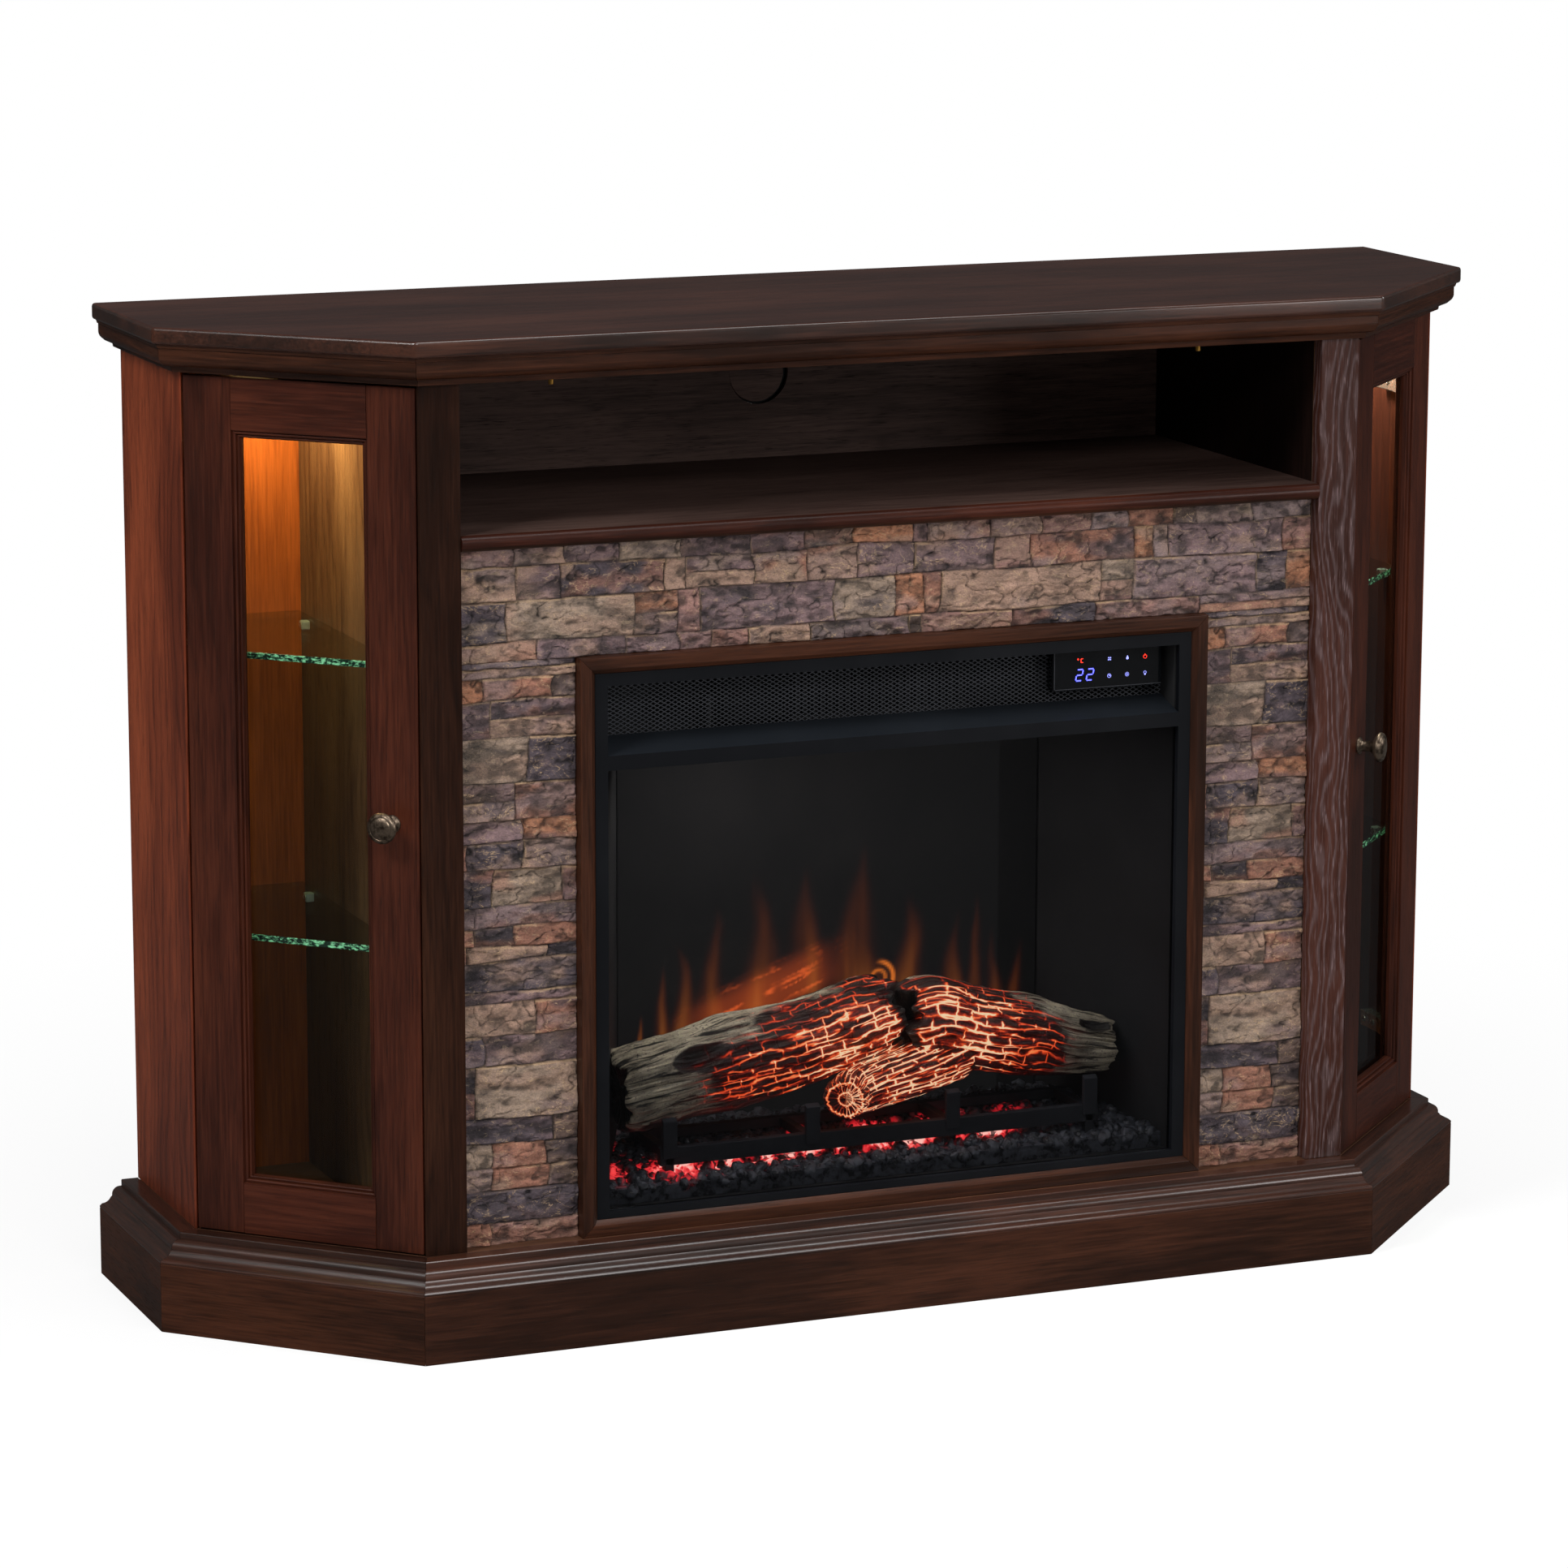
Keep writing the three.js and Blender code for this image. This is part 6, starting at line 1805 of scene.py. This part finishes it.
    def lumps(self) -> list[Piece]:
        """The coals, each turned, stretched and chipped from one of four lumps."""
        start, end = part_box("ember_bed")
        patterns = [self.lump(seed) for seed in range(4)]
        chance = np.random.default_rng(29)
        rows, pieces = [], []
        y = start.y + 5 * MM
        while y < end.y - 5 * MM:
            half = min(end.x, 0.2865 - max(0.0, (y + 0.1402) * 0.5)) - 8 * MM
            count = int(2 * half / self.coal_pitch)
            rows += [
                (-half + 2 * half * (i + chance.uniform(-0.3, 0.3)) / count, y + chance.uniform(-3, 3) * MM)
                for i in range(count + 1)]
            y += self.coal_pitch * 0.95
        for x, y in rows:
            share = (y - start.y) / (end.y - start.y)
            slope = 14 + 6 * min(1, share * 4.6) + 14 * max(0, share - 0.22) / 0.78
            heap = 5 * max(0.0, x / 0.26) ** 2 * share
            size = chance.uniform(4.6, 8.2) * MM
            turn = Matrix.Rotation(chance.uniform(0, math.tau), 4, chance.uniform(-1, 1, 3))
            stretch = Matrix.Diagonal((*chance.uniform(0.7, 1.25, 3) * size, 1))
            height = low("ember_bed").z + (slope + heap - 2.5 + chance.uniform(-2, 2)) * MM
            pieces.append(duplicate(
                patterns[chance.integers(4)], Matrix.Translation((x, y, height)) @ turn @ stretch))
        for pattern in patterns:
            bpy.data.objects.remove(pattern)
        return pieces

    def ember(self, points: Array) -> Array:
        """How hot the bed is at each corner of a coal."""
        glow = np.zeros(len(points))
        slant = (points[:, 2] / MM - 132) * 0.5
        for x, y, reach, heat in self.embers:
            near = ((points[:, 0] / MM - x - slant) / (reach * 1.7)) ** 2 + (
                (points[:, 1] / MM - y) / 15) ** 2
            glow = np.maximum(glow, heat * np.exp(-near ** 1.6))
        return glow

    def lump(self, seed: int) -> Piece:
        """A rough lump with a radius of about 1, to be scaled."""
        clear()
        bpy.ops.mesh.primitive_ico_sphere_add(subdivisions=2, radius=1.0)
        piece = bpy.context.object
        piece.name = "lump"
        points = np.array([v.co for v in piece.data.vertices])
        facets = np.random.default_rng(seed).normal(size=(9, 3))
        facets /= np.linalg.norm(facets, axis=1)[:, None]
        cut = np.clip(points @ facets.T, 0, 1).max(axis=1)
        size = 0.86 / np.maximum(cut, 0.8) + 0.12 * Grit(seed + 40).at(points, 2.4, 3)
        piece.data.vertices.foreach_set("co", (points * size[:, None]).ravel())
        return piece

    def coal_finish(self) -> Paint:
        """Coal: glossy black and blue-grey, crimson with pink cores where it glows."""
        g = Graph("coal")
        here = g.place()
        cloud = g.noise(here, 160.0, 4.0, 0.6)
        grain = g.noise(here, 620.0, 3.0, 0.6)
        patches = g.noise(g.stretch(here, (1.0, 1.0, 0.6)), 150.0, 2.0, 0.5, 0.6)
        glow = g.attribute("glow") * 1.3 - patches.rise(0.42, 0.72) * 0.6
        body = g.blend(cloud.rise(0.35, 0.7), srgb(24, 25, 28), srgb(74, 77, 84))
        body = g.blend(g.attribute("glow").rise(0.05, 0.6) * 0.7, body, srgb(40, 8, 10))
        hot = g.ramp(glow, ((0.0, (0.0, 0.0, 0.0)), (0.2, (0.04, 0.001, 0.002)), (0.4, (0.5, 0.008, 0.014)),
                            (0.68, (0.92, 0.06, 0.06)), (0.95, (1.0, 0.5, 0.42))))
        return g.finish(
            base_color=body, roughness=0.3 + (cloud - 0.5) * 0.5, coat_weight=0.3, emission_color=hot,
            emission_strength=2.6, normal=g.bump(cloud * 0.5 + grain * 0.5, 0.0016, 0.9))

    def logs(self) -> None:
        """The two logs and the short split one in front."""
        material = self.bark_finish()
        for stick in self.sticks:
            piece = paint(self.stick(stick), material)
            if stick.name == "log_right":
                stub = paint(self.stick(self.stub), material)
                piece = join("log_right_moulded", [piece, stub])
            else:
                piece.name = "log_left_moulded"
            hand_in(piece, "case", "charred_wood", stick.name, smooth=65)

    def stick(self, stick: Stick) -> Piece:
        """One log: a sheet rolled round its line, with ridges, knots, and broken ends."""
        line, along = stick.line(self.pitch)
        tangent = np.gradient(line[:, :3], axis=0)
        tangent /= np.linalg.norm(tangent, axis=1)[:, None]
        side = np.cross(tangent, (0, 0, 1.0))
        side /= np.linalg.norm(side, axis=1)[:, None]
        up = np.cross(side, tangent)
        cap = np.linspace(0, 1, self.cap_rows, endpoint=False)
        last = len(along) - 1
        rows = np.r_[np.zeros(len(cap), int), np.arange(last + 1), np.full(len(cap), last)]
        share = np.r_[cap, np.ones(last + 1), cap[::-1]]
        row, turn = np.meshgrid(rows, np.linspace(-math.pi, math.pi, stick.columns), indexing="ij")
        share = np.repeat(share[:, None], stick.columns, axis=1)
        run = along[row]
        to_ends = (run, along[-1] - run)
        on_rim = np.stack([np.cos(turn) * 0.045, np.sin(turn) * 0.045, run], axis=-1).reshape(-1, 3)
        inside = np.stack([share * np.cos(turn), share * np.sin(turn), 0 * turn], axis=-1).reshape(-1, 3)
        grit = Grit(stick.seed)
        shape = turn.shape
        ridge = 1 - np.abs(grit.at(on_rim, (150.0, 150.0, 11.0), 3)).reshape(shape) * 1.3
        broad = grit.at(on_rim, (22.0, 22.0, 8.0), 2).reshape(shape)
        chip = Grit(stick.seed + 1).at(on_rim, (80.0, 80.0, 55.0), 3).reshape(shape)
        radius = line[row, 3] * (1 + 0.075 * broad) + (3.0 * ridge - 2.0 + 1.1 * chip) * stick.bark * MM
        grain = turn * self.mean_radius
        # the underside is darker, more so further than 42 degrees below the level
        char = np.clip(0.55 * (-np.degrees(turn) - 42) / 30, 0, 0.8)
        for knot in stick.knots:
            high = (turn - math.radians(knot.around)) * self.mean_radius
            gap = ((run / MM - knot.along) / knot.half_long) ** 2 + (high / MM / knot.half_high) ** 2
            radius += (2.2 * np.exp(-((np.sqrt(gap) - 1.35) / 0.4) ** 2) - knot.depth
                       * np.exp(-gap ** 1.5)) * MM
            grain -= 0.72 * high * np.exp(-gap / 2.2)
            char += 1.1 * np.exp(-((np.sqrt(gap) - 0.85) / 0.42) ** 2) + 0.45 * np.exp(-(gap / 0.9) ** 2)
        shift = np.zeros(shape)
        for sign, distance, rough, hollow in zip((-1, 1), to_ends, stick.ragged, stick.hollows):
            torn = Grit(stick.seed + 3 + sign).at(on_rim * (1, 1, 0), 60.0, 3).reshape(shape)
            shift += sign * rough * MM * torn * np.exp(-distance / (7 * MM))
            at_end = np.exp(-distance / (2.5 * MM))
            radius *= 1 - 0.07 * at_end
            dish = hollow * (1 - share ** 2) + 1.2 * Grit(stick.seed + 5).at(inside, 4.0, 3).reshape(
                shape) * (1 - share) * rough / 3
            shift -= sign * dish * MM * (distance == 0)
        flat = radius * share
        ring = np.cos(turn)[..., None] * side[row] + np.sin(turn)[..., None] * up[row]
        points = line[row, :3] + ring * flat[..., None] + tangent[row] * shift[..., None]
        points[:, -1] = points[:, 0]
        piece = sheet(stick.name + "_bark", points)
        self.dye_stick(piece, stick, run, turn, share, grain, char, chip)
        return outward(piece)

    def dye_stick(self, piece: Piece, stick: Stick, run: Array, turn: Array,
                  share: Array, grain: Array, char: Array, chip: Array) -> None:
        """Keeps a log's grain, heat, char and glowing rings on its corners.

        Args:
            piece: The log's mesh.
            stick: What it was made from.
            run: Each corner's distance along the log.
            turn: Its angle round the log.
            share: Its distance from the middle of an end, as a share of the radius.
            grain: Its distance round the log, bent round the knots.
            char: How charred the knots are, and how much darker the underside is.
            chip: Rough noise over the bark.
        """
        length = run.max()
        inner = (1 - share) * self.mean_radius
        grain_run = run + inner * np.where(run < length / 2, -1, 1)
        heat = np.zeros_like(run)
        for hot in stick.hots:
            far = np.abs(run / MM - hot.along) / hot.reach
            aside = np.abs(np.degrees(turn) - hot.around) / hot.spread
            heat = np.maximum(heat, hot.heat * np.exp(-far ** 3 - aside ** 3))
        for distance, burnt in zip((run, length - run), stick.burnt):
            if burnt:
                heat *= step(distance / MM + 4 * chip, 0.25 * burnt, 1.25 * burnt)
                char = char + 0.9 * (1 - step(distance / MM + 5 * chip, 0.8 * burnt, 2.6 * burnt))
            else:
                char = char + (share < 0.93) * (distance < MM) * 0.75
        radii = share * np.array(stick.stations[0][3])
        rings = sum(np.exp(-((radii - radius) / 0.9) ** 2) for radius in stick.rings) * (run == 0)
        dye(piece, "grain", np.stack([grain_run + 0.1, grain + 0.2, 0 * run], axis=-1).reshape(-1, 3))
        dye(piece, "warmth", np.clip(heat, 0, 1.2).ravel())
        dye(piece, "char", np.clip(char + 1.5 * heat, 0, 1).ravel())
        dye(piece, "rings", (rings + np.zeros_like(run)).ravel())

    def bark_finish(self) -> Paint:
        """Bark: grey-beige ridges, dark furrows, charred ends and cracks that glow."""
        g = Graph("bark")
        here, grain = g.place(), g.attribute("grain", "Vector")
        warmth, char, rings = g.attribute("warmth"), g.attribute("char"), g.attribute("rings")
        furrow = g.noise(grain, (14.0, 150.0, 1.0), 6.0, 0.66, 0.6)
        fibre = g.noise(grain, (50.0, 800.0, 1.0), 3.0, 0.6)
        patch = g.noise(here, 42.0, 4.0, 0.6)
        speck = g.noise(here, 520.0, 3.0, 0.65)
        lines = 1.0 - furrow.rise(0.41, 0.49)
        body = g.blend((fibre * 0.5 + patch * 0.6).rise(0.3, 0.8), srgb(84, 77, 66), srgb(184, 172, 146))
        body = g.blend(lines * 0.95, body, srgb(15, 13, 12))
        body = g.blend(speck.rise(0.57, 0.65) * 0.75, body, srgb(30, 26, 23))
        burnt = (char * 1.7 + (furrow - 0.5) * 1.8 + (patch - 0.5) * 1.4 - 0.25).rise(0.1, 0.5)
        body = g.blend(burnt * 0.96, body, srgb(16, 13, 13))
        body = g.blend((speck * fibre).rise(0.28, 0.38) * burnt * 0.5, body, srgb(92, 84, 80))
        bent = g.warp(g.warp(grain, 22.0, 0.008), 150.0, 0.0016)
        block = (0.023, 0.0088)
        seam = g.cracks(bent, block, 0.0013)
        halo = g.cracks(bent, block, 0.0042)
        gate = g.noise(grain, (26.0, 80.0, 1.0), 2.0).rise(0.38, 0.54)
        wander = g.noise(grain, (9.0, 34.0, 1.0), 4.0, 0.6)
        wave = (grain.axis("Y") * 620.0 + wander * 30.0).sine() * 0.5 + 0.5
        broken = g.noise(grain, (18.0, 130.0, 1.0), 3.0).rise(0.42, 0.60)
        streak = (wave ** 9.0) * broken
        blush = (wave ** 2.0) * 0.14 + halo * gate * 0.30
        shine = warmth * (
            0.09 + blush + seam * gate * 0.95 + streak * 1.15 + (speck - 0.5) * 0.35) + rings * 0.95
        hot = g.ramp(shine, (
            (0.0, (0.0, 0.0, 0.0)), (0.13, (0.022, 0.001, 0.0005)), (0.30, (0.20, 0.009, 0.003)),
            (0.52, (0.85, 0.075, 0.015)), (0.76, (1.0, 0.27, 0.08)), (1.0, (1.0, 0.70, 0.42))))
        height = furrow * 0.55 + fibre * 0.2 + (1.0 - seam) * warmth * 0.7 + patch * 0.3
        return g.finish(
            base_color=body, roughness=0.66 - burnt * 0.3 + (fibre - 0.5) * 0.3, emission_color=hot,
            emission_strength=2.1, specular_ior_level=0.45, normal=g.bump(height, 0.0038, 1.0))


# -------------------- the cabinets


@dataclass
class Cabinet:
    """What a corner cabinet holds: glass shelves on clear supports, a lamp and hinges."""

    side: Side

    def build(self) -> None:
        """Fits out the cabinet."""
        self.shelves()
        self.supports()
        self.lamp()
        self.hinges()

    def shelves(self) -> None:
        """Two glass shelves with green edges."""
        for level in ("upper", "lower"):
            node = f"glass_shelf_{self.side.word}_{level}"
            shelf = soften(copy_of(node, f"shelf_{self.side.word}_{level}"), 0.5 * MM, 1)
            paint(shelf, Look.SHELF_GLASS.build(),
                  Look.SHELF_EDGE.build(), by=lambda face: face.normal.y < -0.3)
            hand_in(shelf, "case", "clear_glass", node)

    def supports(self) -> None:
        """Clear supports under the shelves, each with its screw."""
        sign = self.side.value
        wall = abs(low("side_panel_left").x) - BOARD
        inner = high("media_shelf").x + 38.3 * MM
        pieces = []
        for level in ("upper", "lower"):
            under = low(f"glass_shelf_{self.side.word}_{level}").z
            for x, into, y in ((wall, -1, 57.5 * MM), (wall, -1, 164.2 * MM), (inner, 1, -89.3 * MM),
                               (inner, 1, 164.2 * MM)):
                reach = 8 * MM
                ends = sorted((sign * x, sign * (x + into * reach)))
                clip = board("clip", (ends[0], y - 5 * MM, under - 8.5 * MM),
                             (ends[1], y + 5 * MM, under - 0.2 * MM), 1.4 * MM, 3)
                pieces.append(paint(clip, Look.PLASTIC.build()))
                head = turned("head", Fastening.PAN_HEAD, 14, (sign * into, 0, 0),
                              (sign * (x + into * reach), y, under - 4.6 * MM))
                pieces.append(paint(head, Look.NICKEL.build()))
        hand_in(join(f"shelf_supports_{self.side.word}", pieces), "case", "nickel")

    def lamp(self) -> None:
        """The puck lamp under the top, lit."""
        node = f"puck_light_{self.side.word}"
        start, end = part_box(node)
        place = ((start.x + end.x) / 2, (start.y + end.y) / 2, start.z)
        ring = turned("ring", Fastening.PUCK_RING, 56, (0, 0, 1), place)
        paint(ring, Look.NICKEL.build())
        lens = turned("lens", Fastening.PUCK_LENS, 56, (0, 0, 1), place)
        warm = self.side is Side.LEFT
        paint(lens, (Look.WARM_LENS if warm else Look.PALE_LENS).build())
        hand_in(join(f"puck_{self.side.word}", [ring, lens]), "case", "lamp_lens", node)
        data = bpy.data.lights.new(f"cabinet_{self.side.word}", "SPOT")
        data.energy, data.color = (8.0, (1.0, 0.78, 0.42)) if warm else (7.0, (1.0, 0.95, 0.8))
        data.spot_size, data.spot_blend, data.shadow_soft_size = math.radians(165), 0.6, 0.02
        bulb = add(data.name, data)
        bulb.location = (place[0], place[1], start.z - 20 * MM)

    def hinges(self) -> None:
        """Concealed hinges, each an arm on the case with two plate screws."""
        sign = self.side.value
        for level in ("upper", "lower"):
            node = f"hinge_{self.side.word}_{level}"
            start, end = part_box(node)
            arm = soften(copy_of(node, "arm"), 1.2 * MM, 2)
            middle = (start.z + end.z) / 2
            face = sign * (max(abs(start.x), abs(end.x)) - 12 * MM)
            pieces = [paint(arm, Look.NICKEL.build())]
            for y in (end.y - 8 * MM, end.y - 26 * MM):
                head = turned("head", Fastening.PAN_HEAD, 16, (-sign, 0, 0), (face, y, middle))
                pieces.append(paint(head, Look.NICKEL.build()))
            hand_in(join(f"hinge_arm_{self.side.word}_{level}", pieces), "case", "nickel", node)


# -------------------- the studio


@dataclass
class Studio:
    """A pale floor, soft light and a camera where the photograph was taken from."""

    lens_mm: float = 130.64
    sensor_mm: float = 36.0
    place: Point = (-2.0195, -4.7822, 1.5199)
    back: Point = (-0.37295, -0.90576, 0.20125)
    roll: float = math.radians(0.13)
    floor_half: float = 12.0

    def build(self) -> None:
        """Sets the stage."""
        self.world()
        self.floor()
        self.camera()
        area_lamp("key_softbox", (-2.2, -1.0, 2.4), (-0.66, 0.0, 0.75), (0.8, 0.8), 64.0)
        area_lamp("front_softbox", (-0.6, -4.4, 2.9), (0.0, 0.0, 0.5), (2.0, 1.0), 82.0)
        area_lamp("fill_softbox", (2.3, -3.3, 1.3), (0.4, 0.0, 0.5), (0.8, 1.2), 26.0)
        area_lamp("right_softbox", (3.9, -1.4, 1.9), (0.4, 0.0, 0.5), (1.2, 1.8), 50.0)
        area_lamp("top_softbox", (0.6, -0.9, 3.4), (0.0, -0.2, 0.2), (2.6, 0.8), 40.0)

    @staticmethod
    def world() -> None:
        """A surround that the camera sees as white, which lights softly and hardly shows in the lacquer."""
        g = Graph("surround", "worlds")
        ray = g.node("ShaderNodeLightPath").outputs
        soft, reflected, seen = (
            g.node("ShaderNodeBackground", inputs={"Color": (1.0, 1.0, 1.0), "Strength": level}).outputs[0]
            for level in (0.42, 0.07, 1.0))
        shown = g.mix(ray["Is Camera Ray"], g.mix(ray["Is Glossy Ray"], soft, reflected), seen)
        bpy.context.scene.world = g.end(shown, "World")
        bpy.context.scene.view_settings.view_transform = "Standard"
        bpy.context.scene.view_settings.look = "None"

    def floor(self) -> None:
        """A wide pale floor that runs into the white surround and is dim in the lacquer's reflections."""
        bpy.ops.mesh.primitive_plane_add(size=2 * self.floor_half, location=(0, 0, 0))
        floor = bpy.context.object
        floor.name = "studio_floor"
        g = Graph("studio_floor")
        here = g.place()
        away = (here.axis("X") ** 2.0 + here.axis("Y") ** 2.0) ** 0.5
        ray = g.node("ShaderNodeLightPath").outputs
        pale = g.blend(g.noise(here, 1.5), (0.80, 0.80, 0.80), (0.84, 0.84, 0.84))
        matt = g.node("ShaderNodeBsdfDiffuse", inputs={"Color": pale}).outputs[0]
        white = g.node("ShaderNodeEmission", inputs={"Color": (1.0, 1.0, 1.0), "Strength": 1.0}).outputs[0]
        dark = g.node("ShaderNodeBsdfDiffuse", inputs={"Color": (0.07, 0.07, 0.07)}).outputs[0]
        seen = g.mix(away.rise(0.5, 1.6) * 0.22 + 0.78, matt, white)
        lit = g.mix(ray["Is Camera Ray"], matt, seen)
        floor.data.materials.append(g.end(g.mix(ray["Is Glossy Ray"], lit, dark)))

    def camera(self) -> None:
        """The camera, at the photograph's angle and distance."""
        data = bpy.data.cameras.new("camera")
        data.lens, data.sensor_width = self.lens_mm, self.sensor_mm
        camera = add("camera", data)
        camera.location = self.place
        look = (-Vector(self.back)).to_track_quat("-Z", "Y").to_matrix()
        camera.rotation_euler = (look @ Matrix.Rotation(self.roll, 3, "Z")).to_euler()
        bpy.context.scene.camera = camera


def main() -> None:
    """Builds the fireplace's looks, one sub-assembly after another."""
    logging.basicConfig(level=logging.INFO, format="%(name)s: %(message)s")
    Studio().build()
    Console().build()
    Surround().build()
    Insert().build()
    Fire().build()
    for side in Side:
        Door(side).build()
        Cabinet(side).build()


if __name__ == "__main__":
    main()
